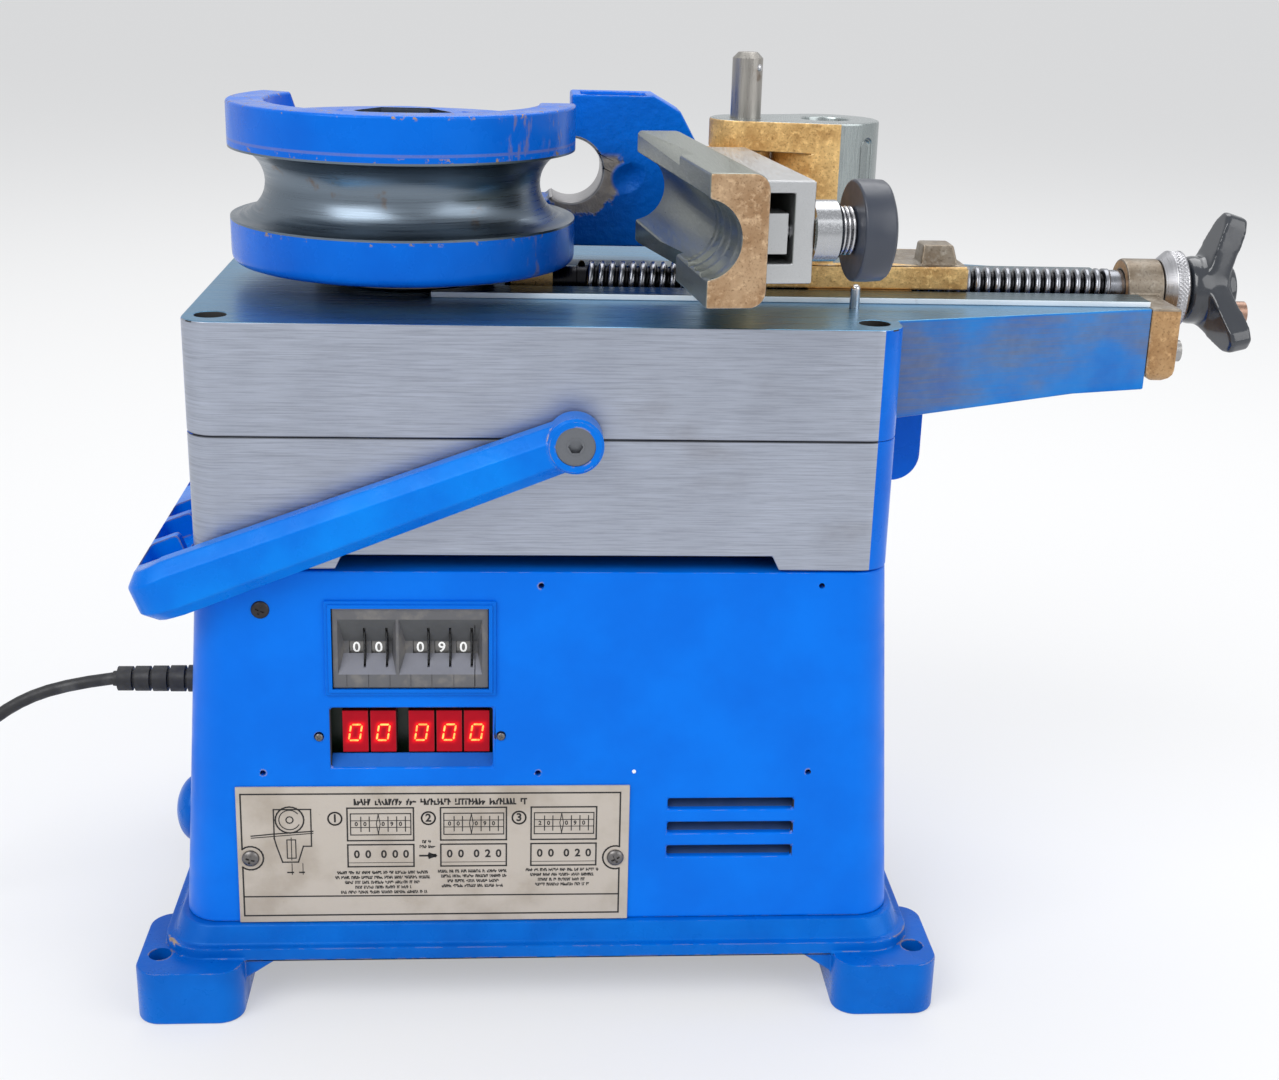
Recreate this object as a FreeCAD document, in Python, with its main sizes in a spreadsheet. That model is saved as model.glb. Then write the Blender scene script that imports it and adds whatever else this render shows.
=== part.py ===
import FreeCAD, Part
import math
import os
from types import SimpleNamespace

import Sketcher
from FreeCAD import Placement, Rotation, Vector

# Rotary draw bender: a bench machine that bends tube round a turning former.
# Millimetres and degrees. The origin is the centre of the four foot bolts in the floor plane, +Z is up,
# the viewer of the front panel stands at -Y, and the arm with its lead screw reaches out along +X.

# Driving dimensions
SIZES = {
    # Base casting and its feet
    "foot_low_x": 111, "foot_high_x": 150.3, "foot_low_y": 68, "foot_high_y": 111.9,
    "foot_top": 21.6, "foot_corner": 9, "foot_hole_x": 285, "foot_hole_y": 196,
    "foot_hole_radius": 4.2, "rim_x": 284, "rim_y": 204, "rim_low": 20.5, "rim_top": 25.7,
    "rim_corner": 17, "step_x": 273, "step_y": 192, "step_top": 32.5, "step_corner": 16,
    # Cabinet
    "cabinet_top": 169.8, "cabinet_base_x": 268.6, "cabinet_base_y": 187.9, "cabinet_x": 252,
    "cabinet_y": 172, "cabinet_wall": 4, "cabinet_corner": 14, "draft": 3.3, "cabinet_stud_x": 224,
    "cabinet_stud_y": 120, "cabinet_stud_radius": 2.5, "front_hole_radius": 1.5,
    "motor_way_x": 168, "motor_way_y": 100, "motor_way_at": -22,
    "vent_low_x": 46.8, "vent_high_x": 94.3, "vent_height": 4.5, "vent_pitch": 9.6, "vent_top": 81.3,
    "socket_y": -60, "socket_height": 63, "socket_radius": 13, "socket_out": 8,
    # Castings
    "table_x": 251.2, "table_y": 172, "table_top": 259.2, "parting": 218.9, "casting_low": 170.5,
    "casting_corner": 11, "recess_left": 72, "recess_right": 82, "recess_rise": 5.3, "recess_deep": 14,
    "arm_root_y": 138, "arm_tip_y": 79.6, "arm_end": 228.5, "arm_low": 228, "arm_root_low": 222.5,
    "trough_y": 45, "trough_low": 249, "trough_start": -15, "corner_hole_x": 232, "corner_hole_y": 146.1,
    "corner_hole_radius": 5.4, "corner_seat": 236, "bolt_radius": 3, "hollow_x": 204, "hollow_y": 120,
    "hollow_top": 243, "rib_out": 150.5, "rib_low": 183, "rib_y": 26,
    # Rails and stop pin
    "rail_top": 261.4, "rail_out_y": 37.5, "rail_in_y": 22.5, "rail_start": -42, "rail_end": 228.4,
    "stop_x": 113.6, "stop_y": -46, "stop_radius": 1.9, "stop_top": 268,
    # Spindle, gears and motor
    "spindle_x": -53.6, "spindle_radius": 15, "spindle_foot": 158, "bush_radius": 19,
    "bush_flange": 24, "running": 0.05, "collar_radius": 34.5, "hex_across": 32,
    "gear_module": 2, "gear_teeth": 48, "pinion_teeth": 18, "gear_low": 186, "gear_high": 202,
    "gear_backlash": 0.2, "gear_room": 6, "nut_across": 38, "motor_radius": 41, "motor_low": 62,
    "motor_flange": 86, "spigot_radius": 21.8, "pinion_shaft_radius": 8,
    # Former and hook
    "former_radius": 65, "former_low": 267.1, "former_top": 318.5, "tube_radius": 12.8,
    "tube_height": 296.9, "hub_radius": 23, "hub_top": 322.3, "band_inner": 51, "band_top": 326.5,
    "dish_floor": 316, "hook_near": 40, "hook_far": 65,
    "hook_low": 266.4, "hook_top": 326.8, "hook_out": 61, "hook_left": 10.8, "hook_lip": 1.4,
    "hook_round": 17, "hook_start": -38, "hook_screw_radius": 3, "hook_screw_rise": 8.4,
    "dimple_x": 34, "dimple_height": 294, "dimple_radius": 5, "dimple_deep": 3,
    # Lead screw and its end
    "screw_height": 259.4, "screw_radius": 8, "screw_start": -14, "nose_radius": 5.5, "nose_end": 12.4,
    "rest_start": -13, "rest_end": 3, "rest_y": 28, "rest_top": 266.5,
    "thread_end": 222.5, "screw_neck_radius": 7.4, "bracket_end": 240, "bracket_low": 230.7,
    "bracket_y": 80, "bracket_boss": 12, "bracket_bolt_in": 12, "bracket_bolt_radius": 2.5,
    "lock_start": 243.2, "lock_radius": 15.3, "lock_long": 9, "knob_start": 254, "knob_end": 273,
    "knob_hub": 10.5, "knob_seat": 9, "knob_turn": 24, "knob_arm_start": 257.2, "knob_reach": 33,
    "knob_root_wide": 25, "knob_tip_wide": 10, "knob_arm_thick": 9.4, "knob_sweep": 16.5,
    "lock_screw_drop": 9.4, "lock_screw_radius": 5, "lock_screw_long": 15.5,
    # Carriage
    "slide_gap": 0.1, "plate_right": 162, "plate_y": 42, "plate_top": 270.5,
    "nut_left": 100, "nut_right": 140, "nut_neck": 28, "nut_foot": 43.6, "block_left": 144,
    "block_right": 158.5, "block_near": -17.3, "block_far": -3.5, "block_top": 278.1, "column_x": 106.5, "column_radius": 20.5,
    "column_top": 323, "pin_x": 75.6, "pin_y": -2, "pin_radius": 5.75,
    "pin_boss": 13.6, "pin_seat": 269.7, "pin_top": 347, "ball_radius": 1.7, "ball_x": 3.4,
    "ball_y": -3.2, "ball_drop": 5.5, "jaw_low": 311.8, "jaw_seat": 280.7,
    # Die holder and counter-die, laid out square to the pin and turned by the yaw
    "yaw": 6.5, "die_left": -41, "die_right": -21.5, "die_front": -126.9, "die_back": 2.1,
    "die_low": 275.1, "die_top": 317.6, "holder_front": -116.3, "holder_right": -3.8,
    "holder_web": -10.8, "holder_low": 281, "holder_top": 314, "holder_slim_top": 311.3,
    "holder_slim_y": -19, "channel_low": 287.6, "channel_top": 310, "holder_lug": 10,
    "plunger_y": -108, "plunger_height": 297, "plunger_radius": 3, "sleeve_radius": 10,
    "sleeve_out": 5.9, "cap_radius": 8, "cap_out": 10.2, "button_out": 11, "button_end": 25.4,
    "button_radius": 16.6,
    # Carrying handle
    "pivot_x": 9.9, "pivot_height": 220.1, "handle_slope": 21, "handle_gap": 1.6, "handle_deep": 12,
    "handle_tall": 19, "eye_radius": 10.5, "pivot_radius": 6.9, "pivot_deep": 10, "grip_near": 150,
    "grip_far": 164.5, "grip_tall": 18, "handle_corner": 15,
    # Controls
    "bezel_left": -79, "bezel_right": -17.4, "bezel_low": 122.5, "bezel_top": 158.4,
    "bezel_proud": 2.4, "bezel_rim": 3, "bezel_back": -56.5, "wheel_wide": 6.4, "wheel_radius": 14.6,
    "wheel_height": 140.3, "wheel_y": -72.9, "axle_radius": 2, "window_left": -77.7,
    "window_right": -18.6, "window_low": 94.4, "window_top": 117.7, "digit_wide": 9.6,
    "digit_tall": 16.6, "digit_low": 98.4, "digit_front": -85, "board_front": -77, "board_thick": 1.6,
    "card_back": -60.4, "sheet_left": -112.9, "sheet_right": 32.4, "sheet_low": 32.8,
    "sheet_top": 87.5, "sheet_thick": 1,
    # Lead
    "cord_radius": 2.5, "grip_radius": 5.4, "cord_exit_y": -20, "cord_exit": 100,
    "coil_inner": 20, "coil_pitch": 5.5, "coil_half_turns": 7, "plug_long": 36, "plug_wide": 26,
    "plug_tall": 13.7, "plug_pin_radius": 2, "plug_pin_long": 19, "plug_pin_gap": 18.6,
}

# Centres of what stands in uneven rows: x alone, or x and height on the cabinet front
HOOK_SCREW_X = (-30.0, -15.0)
WHEEL_X = (-67.6, -59.6, -44.6, -36.8, -29.0)
DIGIT_X = (-69.1, -58.9, -44.9, -34.7, -24.6)
FRONT_SCREWS = ((-101.5, 155.6), (-81.9, 106.7), (-15.6, 106.8))
PLATE_SCREWS = ((-108.1, 59.1), (27.4, 58.3))

doc = FreeCAD.newDocument("rotary_draw_bender")
table = doc.addObject("Spreadsheet::Sheet", "dims")


class Size(float):
    """A number that also carries the expression it came from, so that a property can be bound to it."""

    def __new__(cls, number, text=None):
        size = super().__new__(cls, number)
        size.text = text or f"({float(number):.6g})"
        return size

    def joined(self, other, sign, number, swapped=False):
        """Return the result of one sum, with both texts in their order."""
        mine = self.text
        yours = other.text if isinstance(other, Size) else Size(other).text
        if swapped:
            mine, yours = yours, mine
        return Size(number, f"({mine} {sign} {yours})")

    def __add__(self, other):
        return self.joined(other, "+", float(self) + float(other))

    def __radd__(self, other):
        return self.joined(other, "+", float(other) + float(self), True)

    def __sub__(self, other):
        return self.joined(other, "-", float(self) - float(other))

    def __rsub__(self, other):
        return self.joined(other, "-", float(other) - float(self), True)

    def __mul__(self, other):
        return self.joined(other, "*", float(self) * float(other))

    def __rmul__(self, other):
        return self.joined(other, "*", float(other) * float(self), True)

    def __truediv__(self, other):
        return self.joined(other, "/", float(self) / float(other))

    def __neg__(self):
        return Size(-float(self), f"(0 - {self.text})")


def filled_sheet():
    """Write each size into its own named cell and return the sizes by name."""
    for row, (name, number) in enumerate(SIZES.items(), 1):
        table.set(f"A{row}", name)
        table.set(f"B{row}", str(number))
        table.setAlias(f"B{row}", name)
    return SimpleNamespace(**{name: Size(number, f"dims.{name}") for name, number in SIZES.items()})


d = filled_sheet()
pieces = []


# General ways of making a solid

def bind(thing, name, size):
    """Hold one property of a feature to the sheet."""
    thing.setExpression(name, size.text if isinstance(size, Size) else Size(size).text)


def put(thing, at, turn=None):
    """Place a feature at a point of three sizes, after an optional turn of (axis, degrees)."""
    if turn:
        thing.Placement = Placement(Vector(), Rotation(Vector(*turn[0]), float(turn[1])))
    for letter, size in zip("xyz", at):
        bind(thing, f"Placement.Base.{letter}", size)
    return thing


ALONG = {"z": None, "x": ((0, 1, 0), 90), "y": ((1, 0, 0), -90), "-x": ((0, 1, 0), -90)}


def box(name, low, high):
    """Make a block between two corners."""
    block = doc.addObject("Part::Box", name)
    for side, start, end in zip(("Length", "Width", "Height"), low, high):
        bind(block, side, end - start)
    return put(block, low)


def rod(name, at, radius, length, along="z"):
    """Make a cylinder that starts at a point and runs along an axis."""
    bar = doc.addObject("Part::Cylinder", name)
    bind(bar, "Radius", radius)
    bind(bar, "Height", length)
    return put(bar, at, ALONG[along])


def cone(name, at, radius, end_radius, length, along="z"):
    """Make a cone that starts at a point with the first radius."""
    frustum = doc.addObject("Part::Cone", name)
    bind(frustum, "Radius1", radius)
    bind(frustum, "Radius2", end_radius)
    bind(frustum, "Height", length)
    return put(frustum, at, ALONG[along])


def hexagon(name, at, across, height):
    """Make a six-sided bar, given its size across flats."""
    bar = doc.addObject("Part::Prism", name)
    bar.Polygon = 6
    bind(bar, "Circumradius", across / math.sqrt(3))
    bind(bar, "Height", height)
    return put(bar, at)


def fused(name, *parts):
    """Join solids into one."""
    whole = doc.addObject("Part::MultiFuse", name)
    whole.Shapes = list(parts)
    whole.Refine = True
    return whole


def less(name, base, *tools):
    """Cut tools out of a solid."""
    result = doc.addObject("Part::Cut", name)
    result.Base = base
    result.Tool = tools[0] if len(tools) == 1 else grouped(name + "_tools", *tools)
    result.Refine = True
    return result


def common(name, first, second):
    """Keep what two solids share."""
    shared = doc.addObject("Part::MultiCommon", name)
    shared.Shapes = [first, second]
    return shared


def grouped(name, *parts):
    """Hold separate solids together as one feature."""
    group = doc.addObject("Part::Compound", name)
    group.Links = list(parts)
    return group


def sketched(body, name, plane, corners, height=None):
    """Draw a closed outline on a plane of a body, each corner held by its distances from the origin."""
    sketch = body.newObject("Sketcher::SketchObject", name)
    face = next(item for item in body.Origin.OriginFeatures if item.Role == plane)
    sketch.AttachmentSupport = [(face, "")]
    sketch.MapMode = "FlatFace"
    if height is not None:
        bind(sketch, "AttachmentOffset.Base.z", height)
    count = len(corners)
    spots = [Vector(float(across), float(up), 0) for across, up in corners]
    for index in range(count):
        sketch.addGeometry(Part.LineSegment(spots[index], spots[(index + 1) % count]))
    for index in range(count):
        sketch.addConstraint(Sketcher.Constraint("Coincident", index, 2, (index + 1) % count, 1))
    for index, corner in enumerate(corners):
        for letter, size in zip("XY", corner):
            rule = Sketcher.Constraint(f"Distance{letter}", -1, 1, index, 1, float(size))
            number = sketch.addConstraint(rule)
            sketch.renameConstraint(number, f"{letter.lower()}{index}")
            bind(sketch, f"Constraints.{letter.lower()}{index}", size)
    return sketch


def slab(name, corners, low, high, rounded=None, at=(0, 0, 0), turn=None):
    """Pad an outline from one height to another, and round the upright edges that are asked for."""
    body = doc.addObject("PartDesign::Body", name)
    sketch = sketched(body, name + "_outline", "XY_Plane", corners, low)
    pad = body.newObject("PartDesign::Pad", name + "_pad")
    pad.Profile = sketch
    bind(pad, "Length", high - low)
    round_uprights(body, pad, rounded)
    return put(body, at, turn)


def round_uprights(body, feature, rounded):
    """Round upright edges: one radius for all, or a list of (corner, radius) pairs."""
    if rounded is None:
        return
    doc.recompute()
    wanted = rounded if isinstance(rounded, list) else [(None, rounded)]
    for corner, radius in wanted:
        names = [f"Edge{index}" for index, edge in enumerate(feature.Shape.Edges, 1)
                 if is_upright(edge, corner)]
        fillet = body.newObject("PartDesign::Fillet", f"{feature.Name}_round")
        fillet.Base = (feature, names)
        bind(fillet, "Radius", radius)
        doc.recompute()
        feature = fillet


def is_upright(edge, corner=None):
    """Say whether an edge climbs, and stands at the corner where one is given."""
    ends = [vertex.Point for vertex in edge.Vertexes]
    if len(ends) < 2 or abs(ends[0].z - ends[1].z) < 1:
        return False
    if corner is None:
        return True
    return max(abs(ends[0].x - float(corner[0])), abs(ends[0].y - float(corner[1]))) < 0.5


def rectangle(length, width, x=0, y=0):
    """Return the corners of a rectangle round a centre."""
    return [(x - length / 2, y - width / 2), (x + length / 2, y - width / 2),
            (x + length / 2, y + width / 2), (x - length / 2, y + width / 2)]


def tapered(name, base, low, top, high, corner=None):
    """Make a block that narrows from a (length, width) at its foot to another at its head."""
    wedge = doc.addObject("Part::Wedge", name)
    bind(wedge, "Ymin", Size(0))
    bind(wedge, "Ymax", high - low)
    for sides, size in (("X", base[0]), ("X2", top[0]), ("Z", base[1]), ("Z2", top[1])):
        bind(wedge, f"{sides}min", -size / 2)
        bind(wedge, f"{sides}max", size / 2)
    put(wedge, (0, 0, low), ((1, 0, 0), 90))
    if corner is None:
        return wedge
    return softened(name + "_soft", wedge, corner, is_upright)


def turned(name, profile, at, along="z"):
    """Turn a profile of (radius, height) points about its upright axis."""
    body = doc.addObject("PartDesign::Body", name)
    sketch = sketched(body, name + "_profile", "XZ_Plane", profile)
    spin = body.newObject("PartDesign::Revolution", name + "_spin")
    spin.Profile = sketch
    spin.ReferenceAxis = (sketch, ["V_Axis"])
    spin.Angle = 360
    return put(body, at, ALONG[along])


def softened(name, base, radius, pick):
    """Round the edges of a solid that a test picks."""
    doc.recompute()
    numbers = [index for index, edge in enumerate(base.Shape.Edges, 1) if pick(edge)]
    rounded = doc.addObject("Part::Fillet", name)
    rounded.Base = base
    rounded.Edges = [(index, float(radius), float(radius)) for index in numbers]
    return rounded


def piece(name, feature):
    """Hand a feature over as one separate part of the machine."""
    feature.Label = name
    pieces.append(feature)
    return feature


def four_ways(x, y):
    """Return the four mirror images of a point in plan."""
    return [(-x, -y), (x, -y), (x, y), (-x, y)]


def face_y(height):
    """Return how far forward the sloping cabinet front stands at a height."""
    slope = math.tan(math.radians(float(d.draft)))
    return -(d.cabinet_y / 2 + (d.casting_low - height) * slope)


def side_x(height):
    """Return where the sloping left side of the cabinet stands at a height."""
    spread = (d.cabinet_base_x - d.cabinet_x) / 2
    return -(d.cabinet_x / 2 + (d.cabinet_top - height) * spread / (d.cabinet_top - d.step_top))


# Base casting, cabinet and castings

def base_casting():
    """Cast tray that carries the cabinet, with four feet and stiffening webs."""
    rim = slab("rim", rectangle(d.rim_x, d.rim_y), d.rim_low, d.rim_top, d.rim_corner)
    step = tapered("step", (d.rim_x - 6, d.rim_y - 6), d.rim_top, (d.step_x, d.step_y),
                   d.step_top, d.step_corner)
    lip = slab("lip", rectangle(d.cabinet_base_x - 10, d.cabinet_base_y - 10),
               d.rim_top, d.step_top + 5, 8)
    feet = [foot(index, sign_x, sign_y) for index, (sign_x, sign_y) in enumerate(four_ways(1, 1))]
    webs = [web(index, sign_x, sign_y) for index, (sign_x, sign_y) in enumerate(four_ways(1, 1))]
    solid = fused("base_solid", rim, step, lip, *feet, *webs)
    opening = slab("base_opening", rectangle(d.cabinet_base_x - 24, d.cabinet_base_y - 24),
                   d.rim_low - 1, d.step_top + 6, 12)
    holes = [rod(f"foot_hole_{index}", (x, y, -1), d.foot_hole_radius, d.foot_top + 2)
             for index, (x, y) in enumerate(four_ways(d.foot_hole_x / 2, d.foot_hole_y / 2))]
    piece("base_casting", less("base_cut", solid, opening, *holes))


def foot(index, sign_x, sign_y):
    """One foot block under a corner of the rim."""
    near_x = sign_x * d.foot_low_x
    far_x = sign_x * d.foot_high_x
    near_y = sign_y * d.foot_low_y
    far_y = sign_y * d.foot_high_y
    corners = [(near_x, near_y), (far_x, near_y), (far_x, far_y), (near_x, far_y)]
    return slab(f"foot_{index}", corners, Size(0), d.foot_top, d.foot_corner)


def web(index, sign_x, sign_y):
    """Three-cornered web that stiffens the rim beside a foot."""
    body = doc.addObject("PartDesign::Body", f"web_{index}")
    inner = sign_x * (d.foot_low_x - 13)
    outer = sign_x * (d.foot_low_x + 2)
    corners = [(inner, d.rim_low + 0.5), (outer, d.rim_low + 0.5), (outer, d.foot_top / 2)]
    sketch = sketched(body, f"web_outline_{index}", "XZ_Plane", corners, -sign_y * (d.rim_y / 2 - 4))
    pad = body.newObject("PartDesign::Pad", f"web_pad_{index}")
    pad.Profile = sketch
    pad.Midplane = True
    pad.Length = 6
    return body


def cabinet_shell():
    """Drafted cabinet with a window for the preset wheels, one for the display, and vents."""
    skin = tapered("cabinet_skin", (d.cabinet_base_x, d.cabinet_base_y), d.step_top,
                   (d.cabinet_x, d.cabinet_y), d.cabinet_top, d.cabinet_corner)
    wall = 2 * d.cabinet_wall
    room = tapered("cabinet_room", (d.cabinet_base_x - wall, d.cabinet_base_y - wall), d.step_top - 1,
                   (d.cabinet_x - wall, d.cabinet_y - wall), d.cabinet_top - d.cabinet_wall,
                   d.cabinet_corner - d.cabinet_wall)
    front = face_y(d.step_top) - 5
    behind = -d.cabinet_y / 2 + 12
    cuts = [box("bezel_window", (d.bezel_left + 1.5, front, d.bezel_low + 1.5),
                (d.bezel_right - 1.5, behind, d.bezel_top - 1.5)),
            box("display_window", (d.window_left, front, d.window_low),
                (d.window_right, behind, d.window_top)),
            slab("motor_way", rectangle(d.motor_way_x, d.motor_way_y, d.motor_way_at, 0),
                 d.cabinet_top - 10, d.cabinet_top + 1, 12)]
    for index in range(3):
        top = d.vent_top - index * d.vent_pitch
        cuts.append(box(f"vent_{index}", (d.vent_low_x, front, top - d.vent_height),
                        (d.vent_high_x, behind, top)))
    cuts.append(rod("grip_hole", (side_x(d.cord_exit) - 5, d.cord_exit_y, d.cord_exit),
                    d.grip_radius - 1.4, 15, "x"))
    for index, (x, z) in enumerate(FRONT_SCREWS + PLATE_SCREWS):
        cuts.append(rod(f"front_hole_{index}", (x, front, z), d.front_hole_radius, 20, "y"))
    for index, (x, y) in enumerate(four_ways(d.cabinet_stud_x / 2, d.cabinet_stud_y / 2)):
        cuts.append(rod(f"stud_hole_{index}", (x, y, d.cabinet_top - 10), d.cabinet_stud_radius + 0.1, 20))
    piece("cabinet_shell", less("cabinet_cut", skin, room, *cuts))


def socket_cap():
    """Domed cap over the pedal socket on the cabinet's left side."""
    side = side_x(d.socket_height)
    dome = doc.addObject("Part::Ellipsoid", "socket_dome")
    bind(dome, "Radius1", d.socket_out)
    bind(dome, "Radius2", d.socket_radius)
    bind(dome, "Radius3", d.socket_radius)
    dome.Angle1 = 0
    dome.Angle2 = 90
    put(dome, (side, d.socket_y, d.socket_height), ALONG["-x"])
    base = rod("socket_base", (side + 1.5, d.socket_y, d.socket_height), d.socket_radius, 1.5, "-x")
    whole = fused("socket_whole", dome, base)
    skin = tapered("cabinet_skin_for_cap", (d.cabinet_base_x, d.cabinet_base_y), d.step_top,
                   (d.cabinet_x, d.cabinet_y), d.cabinet_top, d.cabinet_corner)
    piece("socket_cap", less("socket_trimmed", whole, skin))


def gearbox_casting():
    """Lower casting: the gear case, with the lug that backs the arm."""
    block = slab("gearbox_block", rectangle(d.table_x, d.table_y), d.casting_low, d.parting,
                 d.casting_corner)
    lug = softened("gearbox_lug", box("lug_block", (d.table_x / 2 - 6, -d.rib_y / 2, d.rib_low),
                                      (d.rib_out, d.rib_y / 2, d.parting)), 11, is_lug_toe)
    solid = fused("gearbox_solid", block, lug)
    face = -d.table_y / 2
    deep = face + d.recess_deep
    recess = slab("gearbox_recess", [(-d.recess_left, face - 1), (d.recess_right, face - 1),
                                     (d.recess_right, deep), (-d.recess_left, deep)],
                  d.casting_low - 1, d.casting_low + d.recess_rise)
    floor = d.gear_low - d.gear_room
    cavity = [rod("wheel_room", (d.spindle_x, 0, floor), gear_radius(d.gear_teeth) + 5, 60),
              rod("pinion_room", (pinion_x(), 0, floor), gear_radius(d.pinion_teeth) + 5, 60),
              rod("lower_bush_hole", (d.spindle_x, 0, d.casting_low - 1), d.bush_radius, 20),
              rod("motor_hole", (pinion_x(), 0, d.casting_low - 1), d.spigot_radius + 0.2, 20)]
    holes = [rod(f"casting_thread_{index}", (x, y, d.parting - 24), d.bolt_radius + 0.1, 30)
             for index, (x, y) in enumerate(four_ways(d.corner_hole_x / 2, d.corner_hole_y / 2))]
    holes += [rod(f"cabinet_thread_{index}", (x, y, d.casting_low - 1), d.cabinet_stud_radius + 0.1, 13)
              for index, (x, y) in enumerate(four_ways(d.cabinet_stud_x / 2, d.cabinet_stud_y / 2))]
    holes += pivot_seats("gearbox")
    piece("gearbox_casting", less("gearbox_cut", solid, recess, *cavity, *holes))


def pivot_seats(owner):
    """Return the two blind holes, shared by both castings, that the handle's pivot screws enter."""
    deep = d.table_y / 2 - d.pivot_deep
    return [rod(f"{owner}_pivot_front", (d.pivot_x, -d.table_y / 2 - 1, d.pivot_height),
                d.pivot_radius, d.pivot_deep + 1, "y"),
            rod(f"{owner}_pivot_rear", (d.pivot_x, deep, d.pivot_height),
                d.pivot_radius, d.pivot_deep + 1, "y")]


def is_lug_toe(edge):
    """Pick the lower outer edge of the lug."""
    middle = edge.BoundBox.Center
    return edge.BoundBox.YLength > 5 and middle.x > float(d.rib_out) - 1 and middle.z < float(d.rib_low) + 1


def table_casting():
    """Upper casting: the machined table, the arm that carries the lead screw, and its trough."""
    plain = slab("table_block", rectangle(d.table_x, d.table_y), d.parting, d.table_top,
                 d.casting_corner)
    root = d.table_x / 2 - 8
    arm_plan = [(root, -d.arm_root_y / 2 - 2), (d.arm_end, -d.arm_tip_y / 2), (d.arm_end, d.arm_tip_y / 2),
                (root, d.arm_root_y / 2 + 2)]
    arm = slab("arm_block", arm_plan, d.arm_root_low, d.table_top)
    wedge = side_slab("arm_wedge", [(root, d.arm_root_low - 6), (d.arm_end + 1, d.arm_root_low - 6),
                                    (d.arm_end + 1, d.arm_low), (d.arm_end - 30, d.arm_low),
                                    (root, d.arm_root_low)], d.arm_root_y + 20)
    solid = fused("table_solid", plain, less("arm_cut", arm, wedge))
    cuts = [box("trough", (d.trough_start, -d.trough_y / 2, d.trough_low),
                (d.arm_end + 1, d.trough_y / 2, d.table_top + 1)),
            slab("table_hollow", rectangle(d.hollow_x, d.hollow_y), d.parting - 1, d.hollow_top, 10),
            rod("upper_bush_hole", (d.spindle_x, 0, d.parting), d.bush_radius, 60)]
    for index, (x, y) in enumerate(four_ways(d.corner_hole_x / 2, d.corner_hole_y / 2)):
        cuts.append(rod(f"corner_bore_{index}", (x, y, d.corner_seat), d.corner_hole_radius, 40))
        cuts.append(rod(f"corner_way_{index}", (x, y, d.parting - 1), d.bolt_radius + 0.3, 40))
    for index, y in enumerate(bracket_bolt_y()):
        cuts.append(rod(f"bracket_thread_{index}", (d.arm_end - 16, y, d.bracket_low + 10),
                        d.bracket_bolt_radius + 0.1, 17, "x"))
    piece("table_casting", less("table_cut", solid, *cuts, *pivot_seats("table")))


def bracket_bolt_y():
    """Return where the two bolts of the end bracket stand, front and rear."""
    reach = d.bracket_y / 2 - d.bracket_bolt_in
    return -reach, reach


def side_slab(name, corners, width, y=0):
    """Pad an outline of (x, z) corners evenly to both sides of a plane along Y."""
    body = doc.addObject("PartDesign::Body", name)
    sketch = sketched(body, name + "_outline", "XZ_Plane", corners)
    pad = body.newObject("PartDesign::Pad", name + "_pad")
    pad.Profile = sketch
    pad.Midplane = True
    bind(pad, "Length", width)
    return put(body, (0, y, 0))


def cap_screw(name, at, radius, length, along):
    """Socket head cap screw; the point is the seat under its head, and the head stands on along it."""
    step = {"z": (0, 0, 1), "x": (1, 0, 0), "y": (0, 1, 0)}[along]
    tall = radius * 2
    tip = tuple(spot - way * length for spot, way in zip(at, step))
    inside = tuple(spot + way * tall / 2 for spot, way in zip(at, step))
    shank = rod(f"{name}_shank", tip, radius, length, along)
    top = rod(f"{name}_head", at, radius * 1.65, tall, along)
    socket = rod(f"{name}_socket", inside, radius * 0.85, tall, along)
    return less(name, fused(f"{name}_solid", shank, top), socket)


def table_bolts():
    """Socket head bolts deep in the corner holes, which hold the table to the gear case."""
    bolts = [cap_screw(f"table_bolt_{index}", (x, y, d.corner_seat), d.bolt_radius, 38, "z")
             for index, (x, y) in enumerate(four_ways(d.corner_hole_x / 2, d.corner_hole_y / 2))]
    piece("table_bolts", grouped("table_bolt_set", *bolts))


def cabinet_bolts():
    """Hexagon nuts on studs inside the cabinet roof, which hold it up against the gear case."""
    nuts = []
    low = d.cabinet_top - d.cabinet_wall - 5
    for index, (x, y) in enumerate(four_ways(d.cabinet_stud_x / 2, d.cabinet_stud_y / 2)):
        nut = hexagon(f"cabinet_nut_{index}", (x, y, low), d.cabinet_stud_radius * 3.6, 4.9)
        stud = rod(f"cabinet_bolt_{index}", (x, y, low - 3), d.cabinet_stud_radius, 17)
        nuts.append(fused(f"cabinet_fixing_{index}", nut, stud))
    piece("cabinet_bolts", grouped("cabinet_bolt_set", *nuts))


def rails():
    """Two flat steel guide rails; the front one and the rear one are mirror images."""
    for name, sign in (("front_rail", -1), ("rear_rail", 1)):
        low = (d.rail_start, min(sign * d.rail_in_y, sign * d.rail_out_y), d.table_top)
        high = (d.rail_end, max(sign * d.rail_in_y, sign * d.rail_out_y), d.rail_top)
        bar = box(name + "_bar", low, high)
        notch = rod(name + "_notch", (d.spindle_x, 0, d.table_top - 1), d.collar_radius + 1.5, 6)
        piece(name, less(name + "_cut", bar, notch))


def stop_pin():
    """Round-topped pin that stands in the table beside the rail."""
    pin = rod("stop_rod", (d.stop_x, d.stop_y, d.table_top), d.stop_radius, d.stop_top - d.table_top)
    piece("stop_pin", softened("stop_rounded", pin, d.stop_radius - 0.1,
                               lambda edge: edge.BoundBox.ZMin > float(d.stop_top) - 0.5
                               and edge.BoundBox.ZLength < 0.1))


# Spindle drive

def gear_radius(teeth):
    """Return the pitch radius of a gear."""
    return d.gear_module * teeth / 2


def pinion_x():
    """Return where the pinion turns, one mesh away from the spindle."""
    return d.spindle_x + gear_radius(d.gear_teeth) + gear_radius(d.pinion_teeth) + d.gear_backlash


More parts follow.
